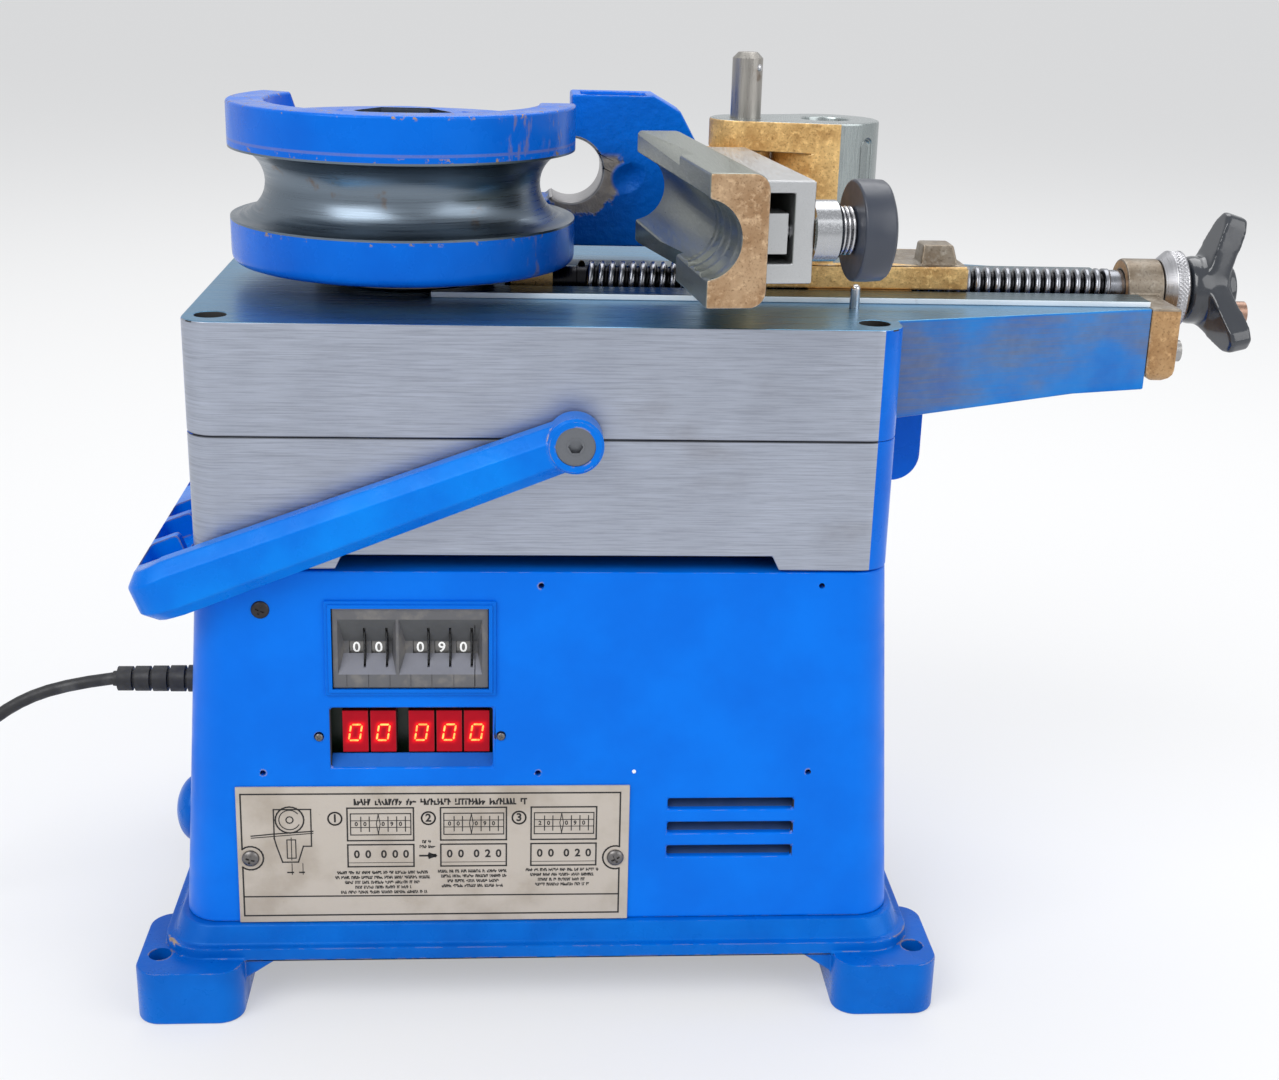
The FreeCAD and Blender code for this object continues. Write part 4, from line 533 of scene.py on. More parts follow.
def cabinet_faces(normal, middle):
    """Enamel outside, near-black painted shade on the inner faces of the walls."""
    inward = normal.x * middle.x + normal.y * middle.y < 0 and abs(normal.z) < 0.7
    near_wall = abs(middle.y) > 70 or abs(middle.x) > 115
    return 1 if inward and near_wall and middle.z < 168 else 0


painted(cabinet, cabinet_faces)
finished(cabinet, "cabinet", [smooth_blue, painted_shade_black], "frame", ["cabinet_shell"])
finish_node("socket_cap", cast_blue)
white_dot = Finish("white_paint", (0.8, 0.8, 0.82), 0.4)
white_dot.feed("Roughness", white_dot.spread(white_dot.grain(1), 0.3, 0.7, 0.3, 0.6))
dot = turned([(0, 0), (0.6, 0.05), (0.8, 0.35), (0.8, 0.6), (0, 0.6)],
             (PAINT_DOT[0], front_y(PAINT_DOT[1]) - 0.3, PAINT_DOT[1]), "y", 20)
finished(dot, "paint_dot", [white_dot], "frame")


# Gear case: the lower casting, machined on its front, which shows bare metal with fine milling marks,
# and painted blue on its sides. A long shallow recess runs under its front edge; its faces get a
# near-black painted shade.
def milled_metal(name, colour, roughness, streak=(40, 40, 1), depth=0.012, metallic=0.85, nicks=0.5,
                 shade=0.75, bands=0.0):
    """Machined metal with fine streaks left by the cutter, small dark nicks, faint clouds and wide bands."""
    finish = Finish(name, colour, roughness, metallic)
    dark = tuple(part * shade for part in colour)
    streaks = finish.grain(0.45, stretch=streak, detail=4)
    clouds = finish.spread(finish.grain(30, detail=5), 0.35, 0.7)
    nick = finish.spread(finish.grain(3.2, detail=6, rough=0.75), 0.745 - nicks * 0.05, 0.78 - nicks * 0.05)
    ground = finish.blend(streaks, dark, colour)
    ground = finish.blend(finish.sum("MULTIPLY", clouds, 0.35), ground, dark)
    if bands:
        wide = finish.spread(finish.grain(0.7, stretch=streak, detail=7, rough=0.75), 0.42, 0.66, 0.0, bands)
        ground = finish.blend(wide, ground, tuple(part * 0.42 for part in colour))
        seam = finish.spread(finish.away((0, 0, PARTING), (0, 0, 1)), 0.0007, 0.0003)
        stained = finish.spread(finish.grain(30, stretch=(2, 2, 1), detail=6), 0.58, 0.8, 0.0, 0.3)
        ground = finish.blend(stained, ground, (0.13, 0.105, 0.08))
        ground = finish.blend(finish.sum("MULTIPLY", seam, 0.8), ground, (0.02, 0.02, 0.022))
    finish.feed("Base Color", finish.blend(finish.sum("MULTIPLY", nick, 0.8), ground, (0.05, 0.05, 0.055)))
    finish.feed("Roughness", finish.spread(streaks, 0.2, 0.8, roughness - 0.08, roughness + 0.1))
    finish.relief(finish.sum("SUBTRACT", streaks, finish.sum("MULTIPLY", nick, 1.5)), depth)
    return finish


PARTING = 218.9
front_metal = milled_metal("milled_front", (0.50, 0.54, 0.64), 0.38, depth=0.03, nicks=0.8, shade=0.6,
                           bands=0.5)
rough_blue = blue_enamel("rough_blue", wear=0.55, cast=0.1, chips=0.1)
CASTING_HALF_Y = 86
PAINT_START = 118


def casting_faces(normal, middle):
    """Bare milled metal in front and round the left corner, blue on the other sides."""
    in_front = normal.y < -0.25 and middle.y < -CASTING_HALF_Y + 10
    if in_front and middle.x < PAINT_START:
        return 1
    return 0


RECESS_ENDS = (-72, 82)
RECESS_TOP = 175.8
RECESS_FLARE = 2.6


def gear_case_faces(normal, middle):
    """Near-black painted shade in the recess under the front edge, else as every casting."""
    in_recess = middle.z < RECESS_TOP + 0.5 and RECESS_ENDS[0] - 3 < middle.x < RECESS_ENDS[1] + 3
    if in_recess and -CASTING_HALF_Y + 0.6 < middle.y < -CASTING_HALF_Y + 16:
        return 2
    return casting_faces(normal, middle)


gear_case = node_copy("gearbox_casting")
for vertex in gear_case.verts:
    for end, way in zip(RECESS_ENDS, (-1, 1)):
        at_foot = abs(vertex.co.z - CASTING_LOW) < 0.2 and vertex.co.y < -CASTING_HALF_Y + 16
        if at_foot and abs(vertex.co.x - end) < 0.2:
            vertex.co.x += way * RECESS_FLARE
eased(gear_case, 0.6)
painted(gear_case, gear_case_faces)
finished(gear_case, "gear_case", [rough_blue, front_metal, painted_shade_black], "frame",
         ["gearbox_casting"])


# Table: the upper casting, with a machined top that carries the rails, and the arm for the lead screw.
# The top is dark and mirror-like, tinted blue as a painted reflection, its front bare and milled,
# the arm's sides blue and rubbed through.
# The top's blue tint is a painted reflection of a blue-green wall.
table_top_painted_reflection = milled_metal("milled_top_painted_reflection", (0.12, 0.34, 0.56), 0.3, streak=(60, 1, 60), depth=0.004,
                               metallic=0.9, nicks=0.3, shade=0.6)


def arm_rub(finish):
    """Broad cloudy rub that leaves the arm's edges painted."""
    slanted = finish.sum("SUBTRACT", finish.along("Z"), finish.sum("MULTIPLY", finish.along("X"), 0.07))
    low = finish.spread(slanted, 0.213, 0.218)
    high = finish.spread(finish.along("Z"), 0.2589, 0.2581)
    cloudy = finish.spread(finish.grain(24, (2, 2, 1), (0, 35, 0), 5), 0.36, 0.64, 0.15, 0.75)
    scratched = finish.spread(finish.grain(0.5, (30, 30, 1), (0, 55, 0)), 0.3, 0.7, 0.6, 1.0)
    rubbed = finish.sum("MULTIPLY", cloudy, scratched)
    return finish.sum("MULTIPLY", finish.sum("MULTIPLY", low, high), rubbed)


arm_blue = blue_enamel("arm_blue", (0.0, 0.10, 0.44), (0.01, 0.20, 0.60), wear=0.3, cast=0.06, chips=0.3,
                       gloss=0.3, bare=(0.12, 0.115, 0.12), rubbed=arm_rub)
ARM_START = 127
TABLE_TOP = 259.2
BOLT_HOLES_IN = 84


def table_faces(normal, middle):
    """Dark milled top tinted blue as a painted reflection, milled front, near-black painted shade in the bolt
    holes, and paint on the sides and the arm.
    """
    inside = abs(middle.y) < BOLT_HOLES_IN and abs(middle.x) < ARM_START - 4
    # Bolt holes and the inner faces near the top get the near-black painted shade.
    if inside and abs(normal.z) < 0.5 and middle.z > TABLE_TOP - 20:
        return 4
    if normal.z > 0.5 and middle.z > TABLE_TOP - 0.9:
        return 2
    if middle.x > ARM_START:
        return 3
    return casting_faces(normal, middle)


table = eased(node_copy("table_casting"), 0.7)
painted(table, table_faces)
finished(table, "table", [rough_blue, front_metal, table_top_painted_reflection, arm_blue, painted_shade_black], "frame",
         ["table_casting"])


# Table bolts, cabinet nuts, guide rails and stop pin: plated socket screws deep in the corner holes,
# two ground steel rails screwed to the table, and a hardened round-topped pin.
def steel(name, colour=(0.5, 0.5, 0.53), roughness=0.28, stain=0.3, streak=(1, 1, 1), size=0.6):
    """Ground or turned steel with fine marks and light brown stains."""
    finish = Finish(name, colour, roughness, 1.0)
    marks = finish.grain(size, stretch=streak, detail=4)
    stained = finish.spread(finish.grain(10, detail=5), 0.68 - stain * 0.15, 0.85 - stain * 0.15)
    tone = finish.blend(marks, tuple(part * 0.72 for part in colour), colour)
    finish.feed("Base Color", finish.blend(stained, tone, (0.16, 0.11, 0.075)))
    finish.feed("Roughness", finish.spread(marks, 0.2, 0.8, roughness - 0.07, roughness + 0.12))
    finish.relief(marks, 0.008)
    return finish


plated = steel("plated_screws", (0.42, 0.41, 0.4), 0.34)
for node in ("table_bolts", "cabinet_bolts", "bracket_bolts", "hook_screws"):
    finish_node(node, plated)
# Rail fronts are near white, a painted bright reflection; rail tops are dark blue-green, a painted
# reflection.
rail_painted_highlight = steel("rails_painted_highlight", (0.90, 0.95, 0.99), 0.5, 0.0, (60, 1, 60))
rail_painted_highlight.feed("Metallic", 0.2)
rail_top_painted_reflection = milled_metal("rail_tops_painted_reflection", (0.05, 0.12, 0.16), 0.25, (60, 1, 60), 0.004, 0.9, 0.2)
for side in ("front", "rear"):
    rail = eased(node_copy(side + "_rail"), 0.35)
    painted(rail, lambda normal, middle: 1 if normal.z > 0.5 else 0)
    finished(rail, side + "_guide", [rail_painted_highlight, rail_top_painted_reflection], "frame", [side + "_rail"])
bright_steel = steel("bright_steel", (0.6, 0.6, 0.62), 0.2, 0.1)
for node in ("stop_pin", "wheel_axle", "plunger_pin"):
    finish_node(node, bright_steel)


# Spindle drive: steel spindle with its gear, nut and thrust collar in bronze bushes, turned through
# a pinion by a gear motor that hangs in the cabinet. Only the collar and the hexagon's end show.
oily_steel = steel("oily_steel", (0.22, 0.2, 0.19), 0.35, 0.7)
for node in ("spindle", "thrust_collar", "spindle_gear", "spindle_nut", "motor_pinion"):
    finish_node(node, oily_steel)
bronze = steel("turned_bronze", (0.55, 0.36, 0.16), 0.3, 0.3)
for node in ("upper_bush", "lower_bush", "carriage_nut"):
    finish_node(node, bronze)
motor_paint = Finish("motor_enamel", (0.06, 0.065, 0.07), 0.4)
motor_paint.feed("Base Color", motor_paint.blend(motor_paint.grain(20), (0.045, 0.05, 0.055),
                                                 (0.085, 0.09, 0.095)))
motor_paint.relief(motor_paint.grain(1.5), 0.05)
finish_node("gear_motor", motor_paint)


# Bending former: a turned iron wheel with a half-round groove for the tube, pressed on the hexagon.
# Its flanges are enamelled blue and its groove is bare and oiled. A raised band runs round most of its
# top and ends in a slope; inside it the top is dished round the hub.
SPINDLE_X = -53.6
FORMER_RADIUS = 65
FORMER_LOW = 267.1
FORMER_TOP = 318.5
BAND_INNER = 51
BAND_TOP_AT = 326.5
FORMER_STEPS = 128
BAND_STEPS = 76
BAND_START = 360 * (1 - BAND_STEPS / FORMER_STEPS)
BAND_SLOPE = 4.4
SLOPE_SPAN = 14
DISH_FLOOR = 316
TUBE_RADIUS = 12.8
TUBE_HEIGHT = 296.9
HEX_ACROSS = 32
HUB_RADIUS = 23
HUB_TOP = 322.3


def arc(centre, radius, start, end, count):
    """Return points (radius, height) along an arc in a profile, angles in degrees."""
    turn = [math.radians(start + (end - start) * index / count) for index in range(count + 1)]
    return [(centre[0] + radius * math.cos(angle), centre[1] + radius * math.sin(angle)) for angle in turn]


def former_rub(finish):
    """Chips along the rims, a faint seam round the top flange and brown streaks at the right."""
    ragged = finish.spread(finish.grain(3.2, detail=6, rough=0.65), 0.58, 0.62)
    seam = finish.spread(finish.away((0, 0, 313.0), (0, 0, 1)), 0.0007, 0.0003)
    chips = finish.sum("MULTIPLY", seam, 0.25)
    for height in (283.2, 310.9, BAND_TOP_AT - 0.3):
        rim = finish.spread(finish.away((0, 0, height), (0, 0, 1)), 0.0017, 0.0005)
        chips = finish.sum("MAXIMUM", chips, finish.sum("MULTIPLY", rim, ragged))
    streaks = finish.spread(finish.grain(3.6, stretch=(1, 1, 3.5), detail=5), 0.55, 0.66)
    for place in ((-10, -48, 320), (4, -30, 316), (-6, -44, 275)):
        stain = finish.sum("MULTIPLY", finish.spot(place, 8, 5, (1, 1, 0.7)), streaks)
        chips = finish.sum("MAXIMUM", chips, finish.sum("MULTIPLY", stain, 0.45))
    return chips


former_blue = blue_enamel("former_blue", (0.0, 0.10, 0.54), (0.0, 0.13, 0.63), wear=0.3, cast=0.03,
                          cast_size=4, chips=0.2, gloss=0.2, bare=(0.26, 0.17, 0.10), rubbed=former_rub)
groove_steel = steel("groove_steel", (0.19, 0.235, 0.285), 0.3, 0.3, (60, 60, 1), 0.5)
former_profile = ([(0, FORMER_LOW), (61.5, FORMER_LOW), (63.6, FORMER_LOW + 0.7), (64.6, FORMER_LOW + 1.8),
                   (64.9, FORMER_LOW + 3), (FORMER_RADIUS, FORMER_LOW + 4.4),
                   (FORMER_RADIUS, TUBE_HEIGHT - TUBE_RADIUS - 0.8)]
                  + arc((FORMER_RADIUS - 0.5, TUBE_HEIGHT), TUBE_RADIUS, 272, 88, 22)
                  + [(FORMER_RADIUS, TUBE_HEIGHT + TUBE_RADIUS + 0.8), (FORMER_RADIUS, FORMER_TOP - 0.8)])
dish_profile = [(BAND_INNER, FORMER_TOP - 0.8), (BAND_INNER - 0.6, DISH_FLOOR + 0.4),
                (BAND_INNER - 2, DISH_FLOOR), (HUB_RADIUS + 1.6, DISH_FLOOR),
                (HUB_RADIUS, DISH_FLOOR + 1.6), (HUB_RADIUS, HUB_TOP - 0.7),
                (HUB_RADIUS - 0.7, HUB_TOP), (0, HUB_TOP)]
flange_profile = [(FORMER_RADIUS - 0.8, FORMER_TOP), (BAND_INNER + 1, FORMER_TOP)]
band_profile = (arc((FORMER_RADIUS - 1.2, BAND_TOP_AT - 1.2), 1.2, 0, 90, 4)
                + arc((BAND_INNER + 1.2, BAND_TOP_AT - 1.2), 1.2, 90, 180, 4))
banded = turned(former_profile + band_profile + dish_profile, (0, 0, 0), steps=BAND_STEPS, start=BAND_START,
                sweep=360 - BAND_START, ends=False)
for vertex in banded.verts:
    turn = math.degrees(math.atan2(vertex.co.y, vertex.co.x)) - BAND_START
    if vertex.co.z > FORMER_TOP and vertex.co.xy.length > HUB_RADIUS + 5 and -0.1 < turn < SLOPE_SPAN:
        lean = math.radians(BAND_SLOPE * (1 - turn / SLOPE_SPAN))
        bmesh.ops.rotate(banded, verts=[vertex], cent=(0, 0, 0), matrix=Matrix.Rotation(lean, 3, "Z"))
low_part = turned(former_profile + flange_profile + dish_profile, (0, 0, 0), steps=FORMER_STEPS - BAND_STEPS,
                  sweep=BAND_START, ends=False)
former = joined(banded, low_part)
bmesh.ops.remove_doubles(former, verts=former.verts, dist=0.01)
bmesh.ops.holes_fill(former, edges=[edge for edge in former.edges if edge.is_boundary], sides=0)
bmesh.ops.recalc_face_normals(former, faces=former.faces)
bmesh.ops.translate(former, vec=(SPINDLE_X, 0, 0), verts=former.verts)
hex_key = turned([(0, FORMER_LOW - 1), (HEX_ACROSS / math.sqrt(3), FORMER_LOW - 1),
                  (HEX_ACROSS / math.sqrt(3), HUB_TOP + 9), (0, HUB_TOP + 9)], (SPINDLE_X, 0, 0), steps=6)
former = cut(former, hex_key)


def former_faces(normal, middle):
    """Bare steel in the groove and the bore, enamel elsewhere."""
    out = math.hypot(middle.x - SPINDLE_X, middle.y)
    in_groove = math.hypot(out - FORMER_RADIUS, middle.z - TUBE_HEIGHT) < TUBE_RADIUS + 0.6
    return 1 if in_groove or out < HEX_ACROSS / 2 + 1.5 else 0


painted(former, former_faces)
finished(former, "former", [former_blue, groove_steel], "spindle_head", ["bending_former"])


# Clamp hook: a forged steel jaw bolted to the former's lower flange, which holds the tube's end.
# It is rough under blue enamel, with a sunken pocket on top and a bare hollow where the tube lies.
HOOK_CENTRE = (10.8, 296.9)
HOOK_NEAR = 40
DIMPLE_PLACE = (34, 294)
DIMPLE_REACH, DIMPLE_DEEP = 8, 5
ROUND_PLACE = (44, 309.8)
HOOK_ROUND = 17


def hook_rub(finish):
    """Bare crescent under and beside the hollow, with ragged edges, and no rub in the dimple."""
    ragged = finish.sum("MULTIPLY", finish.sum("SUBTRACT", finish.grain(3, detail=5), 0.5), 0.008)
    out = finish.sum("ADD", finish.away((14.5, 0, 296.5), (1, 0, 1)), ragged)
    ring = finish.spread(out, 0.0185, 0.0165)
    under = finish.spread(finish.along("Z"), 0.3045, 0.3015)
    dimple = finish.spot((DIMPLE_PLACE[0], 0, DIMPLE_PLACE[1]), 6.5, 1.0, (1, 0, 1))
    bare = finish.sum("MULTIPLY", finish.sum("MULTIPLY", ring, under), finish.sum("SUBTRACT", 1.0, dimple))
    patchy = finish.spread(finish.grain(1.6, detail=5), 0.45, 0.62, 0.0, 0.6)
    for across, height in ((34.5, 305), (31, 284), (40, 293)):
        streak = finish.spot((across, 0, height * 0.4), 1.6, 1.2, (1, 0, 0.4))
        bare = finish.sum("MAXIMUM", bare, finish.sum("MULTIPLY", streak, patchy))
    return bare


hook_blue = blue_enamel("hook_blue", (0.0, 0.10, 0.52), (0.0, 0.155, 0.74), wear=0.8, cast=0.6, cast_size=3.4,
                        chips=0.35, gloss=0.26, bare=(0.22, 0.20, 0.18), rubbed=hook_rub)
hook_bare = steel("hook_bare", (0.42, 0.41, 0.42), 0.36, 0.4, size=2)
hook = node_copy("clamp_hook")
for vertex in hook.verts:
    aside = math.hypot(vertex.co.x - DIMPLE_PLACE[0], vertex.co.z - DIMPLE_PLACE[1])
    if aside < DIMPLE_REACH and vertex.co.y < HOOK_NEAR + DIMPLE_DEEP:
        vertex.co.y = HOOK_NEAR
bmesh.ops.remove_doubles(hook, verts=hook.verts, dist=0.01)
bmesh.ops.dissolve_degenerate(hook, edges=hook.edges, dist=0.003)
bmesh.ops.triangulate(hook, faces=[face for face in hook.faces if len(face.verts) > 4])
for turn in range(15, 90, 15):
    across = Vector((math.sin(math.radians(turn)), 0, -math.cos(math.radians(turn))))
    bmesh.ops.bisect_plane(hook, geom=hook.verts[:] + hook.edges[:] + hook.faces[:],
                           plane_co=(ROUND_PLACE[0], 0, ROUND_PLACE[1]), plane_no=across)
for vertex in hook.verts:
    out = Vector((vertex.co.x - ROUND_PLACE[0], vertex.co.z - ROUND_PLACE[1]))
    if min(out) > 0.05 and abs(out.x + out.y - HOOK_ROUND) < 0.1:
        out *= HOOK_ROUND / out.length
        vertex.co.x, vertex.co.z = ROUND_PLACE[0] + out.x, ROUND_PLACE[1] + out.y
pocket = extruded([(15, 42), (41, 42), (41, 61), (15, 61)], 323.6, 329)
eased(pocket, 2, 3, pick=lambda edge: abs(edge.verts[0].co.z - edge.verts[1].co.z) > 2)
saucer_profile = [(0, -1.8), (2.2, -1.65), (4.2, -1.15), (6.0, -0.45), (7.4, 0.05), (9.0, 0.5), (9.0, 4),
                  (0, 4)]
saucer = turned(saucer_profile, (0, 0, 0), "-y", 40)
bmesh.ops.transform(saucer, matrix=Matrix.Translation((DIMPLE_PLACE[0], HOOK_NEAR + 0.3, DIMPLE_PLACE[1]))
                    @ Matrix.Rotation(math.radians(-35), 4, "Y") @ Matrix.Scale(0.7, 4, (0, 0, 1)),
                    verts=saucer.verts)
hook = eased(cut(hook, pocket, saucer), 1.1, sharp=38)
bmesh.ops.holes_fill(hook, edges=[edge for edge in hook.edges if edge.is_boundary], sides=0)


def hook_faces(normal, middle):
    """Bare metal where the tube lies and along the lip, enamel elsewhere."""
    out = math.hypot(middle.x - HOOK_CENTRE[0], middle.z - HOOK_CENTRE[1])
    return 1 if out < TUBE_RADIUS + 1.2 and middle.x > 1 else 0


painted(hook, hook_faces)
finished(hook, "clamp", [hook_blue, hook_bare], "spindle_head", ["clamp_hook"])


# Lead screw: a dark turned screw with a left-hand rounded thread of 4 mm pitch, a plain pilot under the
# former, and a plain neck through the end bracket, which is bolted to the end of the arm.
SCREW_HEIGHT = 259.4
SCREW_RADIUS = 8
THREAD_START = 12.4
THREAD_END = 222.5
THREAD_PITCH = 4.0
STEPS_PER_TURN = 24
NECK_RADIUS = 7.4
CORE_RADIUS = 6.0


def screw_thread(start, end, radius, pitch, hand):
    """Wind one pitch of a rounded thread round the x axis until it reaches its end."""
    root = radius - 2.1
    shape = [(0, root), (0.55, root + 0.25), (0.9, radius - 0.7), (1.3, radius - 0.2),
             (1.8, radius - 0.03), (2.3, radius - 0.03), (2.8, radius - 0.2), (3.2, radius - 0.7),
             (3.55, root + 0.25), (pitch, root)]
    bm = bmesh.new()
    spots = [bm.verts.new((start + along, 0, height)) for along, height in shape]
    lines = [bm.edges.new(pair) for pair in zip(spots, spots[1:])]
    turns = round((end - start) / pitch) - 1
    bmesh.ops.spin(bm, geom=spots + lines, cent=(0, 0, 0), axis=(1, 0, 0),
                   dvec=(pitch / STEPS_PER_TURN, 0, 0), angle=hand * math.tau * turns,
                   steps=STEPS_PER_TURN * turns, use_merge=False)
    bmesh.ops.remove_doubles(bm, verts=bm.verts, dist=0.002)
    bmesh.ops.holes_fill(bm, edges=[edge for edge in bm.edges if edge.is_boundary], sides=0)
    bmesh.ops.recalc_face_normals(bm, faces=bm.faces)
    bmesh.ops.translate(bm, vec=(0, 0, SCREW_HEIGHT), verts=bm.verts)
    return bm


thread_steel = steel("thread_steel", (0.30, 0.31, 0.34), 0.24, 0.35, (1, 40, 40), 0.5)
# Darker near the axis: the thread's roots get a near-black painted shade between the crests.
deep = thread_steel.spread(thread_steel.away((0, 0, SCREW_HEIGHT), (0, 1, 1)), 0.0066, 0.0076)
bright = thread_steel.shader.inputs["Base Color"].links[0].from_socket
thread_steel.feed("Base Color", thread_steel.blend(deep, (0.015, 0.015, 0.017), bright))
thread = screw_thread(THREAD_START, THREAD_END, SCREW_RADIUS, THREAD_PITCH, -1)
core = turned([(0, THREAD_START), (CORE_RADIUS - 0.3, THREAD_START), (CORE_RADIUS, THREAD_START + 0.3),
               (CORE_RADIUS, THREAD_END - 2),
               (SCREW_RADIUS - 0.1, THREAD_END - 1.5), (SCREW_RADIUS - 0.1, THREAD_END - 0.4),
               (NECK_RADIUS, THREAD_END), (NECK_RADIUS, 263), (0, 263)], (0, 0, SCREW_HEIGHT), "x", 40)
finished(joined(thread, core), "closing_screw", [thread_steel], "screw", ["lead_screw"], sharp=40)
finish_node("screw_nose", thread_steel)
finish_node("screw_rest", bronze)


def rough_gold(name, colour, roughness=0.42, metallic=0.55, cast=0.3, cast_size=2.6):
    """Rough casting with a gold-brown passivated skin, lighter on its high spots."""
    finish = Finish(name, colour, roughness, metallic)
    lumps = finish.grain(cast_size, detail=5, rough=0.62)
    clouds = finish.spread(finish.grain(16, detail=4), 0.3, 0.7)
    brown = tuple(part * share for part, share in zip(colour, (0.62, 0.52, 0.42)))
    pale = tuple(min(1, part * share) for part, share in zip(colour, (1.24, 1.27, 1.3)))
    ground = finish.blend(clouds, brown, colour)
    ground = finish.blend(finish.spread(lumps, 0.48, 0.72), ground, pale)
    pits = finish.spread(finish.grain(cast_size * 0.35, detail=4, rough=0.65), 0.5, 0.72, 0.0, 0.7)
    ground = finish.blend(pits, ground, tuple(part * 0.5 for part in brown))
    rub = finish.sum("MULTIPLY", finish.edges(1.0), finish.spread(finish.grain(5), 0.4, 0.6))
    finish.feed("Base Color", finish.blend(rub, ground, (0.62, 0.55, 0.45)))
    finish.feed("Roughness", finish.spread(lumps, 0.25, 0.75, roughness - 0.1, roughness + 0.16))
    finish.relief(lumps, cast)
    return finish


gold_cast = rough_gold("gold_cast", (0.74, 0.49, 0.20))
brown_plate = rough_gold("brown_plate", (0.46, 0.28, 0.13), 0.42, 0.5, 0.12, 3)
worn_cast = rough_gold("worn_cast", (0.27, 0.235, 0.19), 0.4, 0.6, 0.14, 3)
bracket = node_copy("end_bracket")
eased(bracket, 5, 4, pick=lambda edge: min(end.co.z for end in edge.verts) < 240 and all(
    abs(end.co.y) > 39 and end.co.z < 231 for end in edge.verts))
eased(bracket, 0.9, 2, 40)
painted(bracket, lambda normal, middle: 1 if middle.z > 256 or normal.z > 0.7 else 0)
finished(bracket, "screw_bracket", [brown_plate, worn_cast], "frame", ["end_bracket"])


# Lock collar and hand knob: a steel collar with a smooth cone and a diamond-knurled ring, and a
# three-arm knob moulded in gloss black, held by a screw coloured orange-brown, a painted reflection.
LOCK_START = 243.2
LOCK_RADIUS = 15.3
LOCK_LONG = 9
CONE_LONG = 3.8
KNURLS_AROUND = 56
KNURL_DEEP = 0.55


def knurled(bm, low, high, radius):
    """Press diamonds into the band of a turned piece between two heights along x."""
    for vertex in bm.verts:
        along = vertex.co.x
        aside = vertex.co.yz - Vector((0, SCREW_HEIGHT))
        if low < along < high and aside.length > radius - 0.3:
            angle = math.atan2(aside.y, aside.x) * KNURLS_AROUND / math.tau
            climb = (along - low) * KNURLS_AROUND / (math.tau * radius)
            ridges = [abs((angle + way * climb) % 1.0 - 0.5) * 2 for way in (-1, 1)]
            sunk = KNURL_DEEP * (1 - min(ridges))
            shrink = (aside.length - sunk) / aside.length
            vertex.co.y *= shrink
            vertex.co.z = SCREW_HEIGHT + aside.y * shrink
    return bm


ring_rows = 14
knurl_low = CONE_LONG + 0.4
knurl_high = LOCK_LONG - 0.4
rows = [knurl_low + (knurl_high - knurl_low) * index / ring_rows for index in range(ring_rows + 1)]
collar_profile = ([(0, 0), (LOCK_RADIUS - 3.6, 0), (LOCK_RADIUS - 3.1, 0.3), (LOCK_RADIUS - 0.2, CONE_LONG),
                   (LOCK_RADIUS, CONE_LONG + 0.3)] + [(LOCK_RADIUS, height) for height in rows]
                  + [(LOCK_RADIUS - 0.5, LOCK_LONG), (0, LOCK_LONG)])
lock_ring = turned(collar_profile, (LOCK_START, 0, SCREW_HEIGHT), "x", KNURLS_AROUND * 5)
knurled(lock_ring, LOCK_START + knurl_low + 0.05, LOCK_START + knurl_high - 0.05, LOCK_RADIUS)
collar_steel = steel("collar_steel", (0.48, 0.48, 0.5), 0.3, 0.2, (1, 40, 40), 0.4)
finished(lock_ring, "lock_ring", [collar_steel], "screw", ["lock_collar"], sharp=50)

gloss_black = Finish("gloss_black", (0.022, 0.026, 0.034), 0.14, Coat_Weight=0.5, Coat_Roughness=0.06)
gloss_black.feed("Roughness", gloss_black.spread(gloss_black.grain(8, detail=5), 0.35, 0.8, 0.12, 0.32))
gloss_black.relief(gloss_black.grain(9, detail=2), 0.05)
KNOB_START = 254
KNOB_HUB = 10.5
KNOB_ARMS = 14
KNOB_GRAIN = 0.45
FILLET_END = 19
FILLET_PASSES, LAST_PASSES = 30, 4


def from_axis(vertex):
    """Return how far a point of the knob is from the screw's axis."""
    return math.hypot(vertex.co.y, vertex.co.z - SCREW_HEIGHT)


knob = eased(node_copy("tri_knob"), 1.5, 4,
             pick=lambda edge: all(from_axis(end) > KNOB_ARMS for end in edge.verts))
flare_profile = [(8, 0), (12.6, 0), (13.6, 3), (13.2, 7), (9, 12), (8, 12), (8, 0)]
knob = joined(knob, turned(flare_profile, (KNOB_START, 0, SCREW_HEIGHT), "x", 64))
blank = bpy.data.objects.new("knob_blank", bpy.data.meshes.new("knob_blank"))
bpy.context.scene.collection.objects.link(blank)
bmesh.ops.triangulate(knob, faces=knob.faces)
knob.to_mesh(blank.data)
knob.free()
remesh = blank.modifiers.new("Remesh", "REMESH")
remesh.mode = "VOXEL"
remesh.voxel_size = KNOB_GRAIN
knob = bmesh.new()
knob.from_object(blank, bpy.context.evaluated_depsgraph_get())
bpy.data.objects.remove(blank)
moulded = [vertex for vertex in knob.verts if KNOB_HUB - 0.5 < from_axis(vertex) < FILLET_END]
for group, passes in ((moulded, FILLET_PASSES), (knob.verts[:], LAST_PASSES)):
    for _ in range(passes):
        bmesh.ops.smooth_vert(knob, verts=group, factor=0.5,
                              use_axis_x=True, use_axis_y=True, use_axis_z=True)
finished(knob, "hand_knob", [gloss_black], "screw", ["tri_knob"], sharp=50)
# The screw's orange-brown colour is a painted reflection of orange surroundings.
knob_screw_reflection = steel("screw_painted_orange_reflection", (0.40, 0.25, 0.19), 0.3, 0.4)
finish_node("knob_screw", knob_screw_reflection)


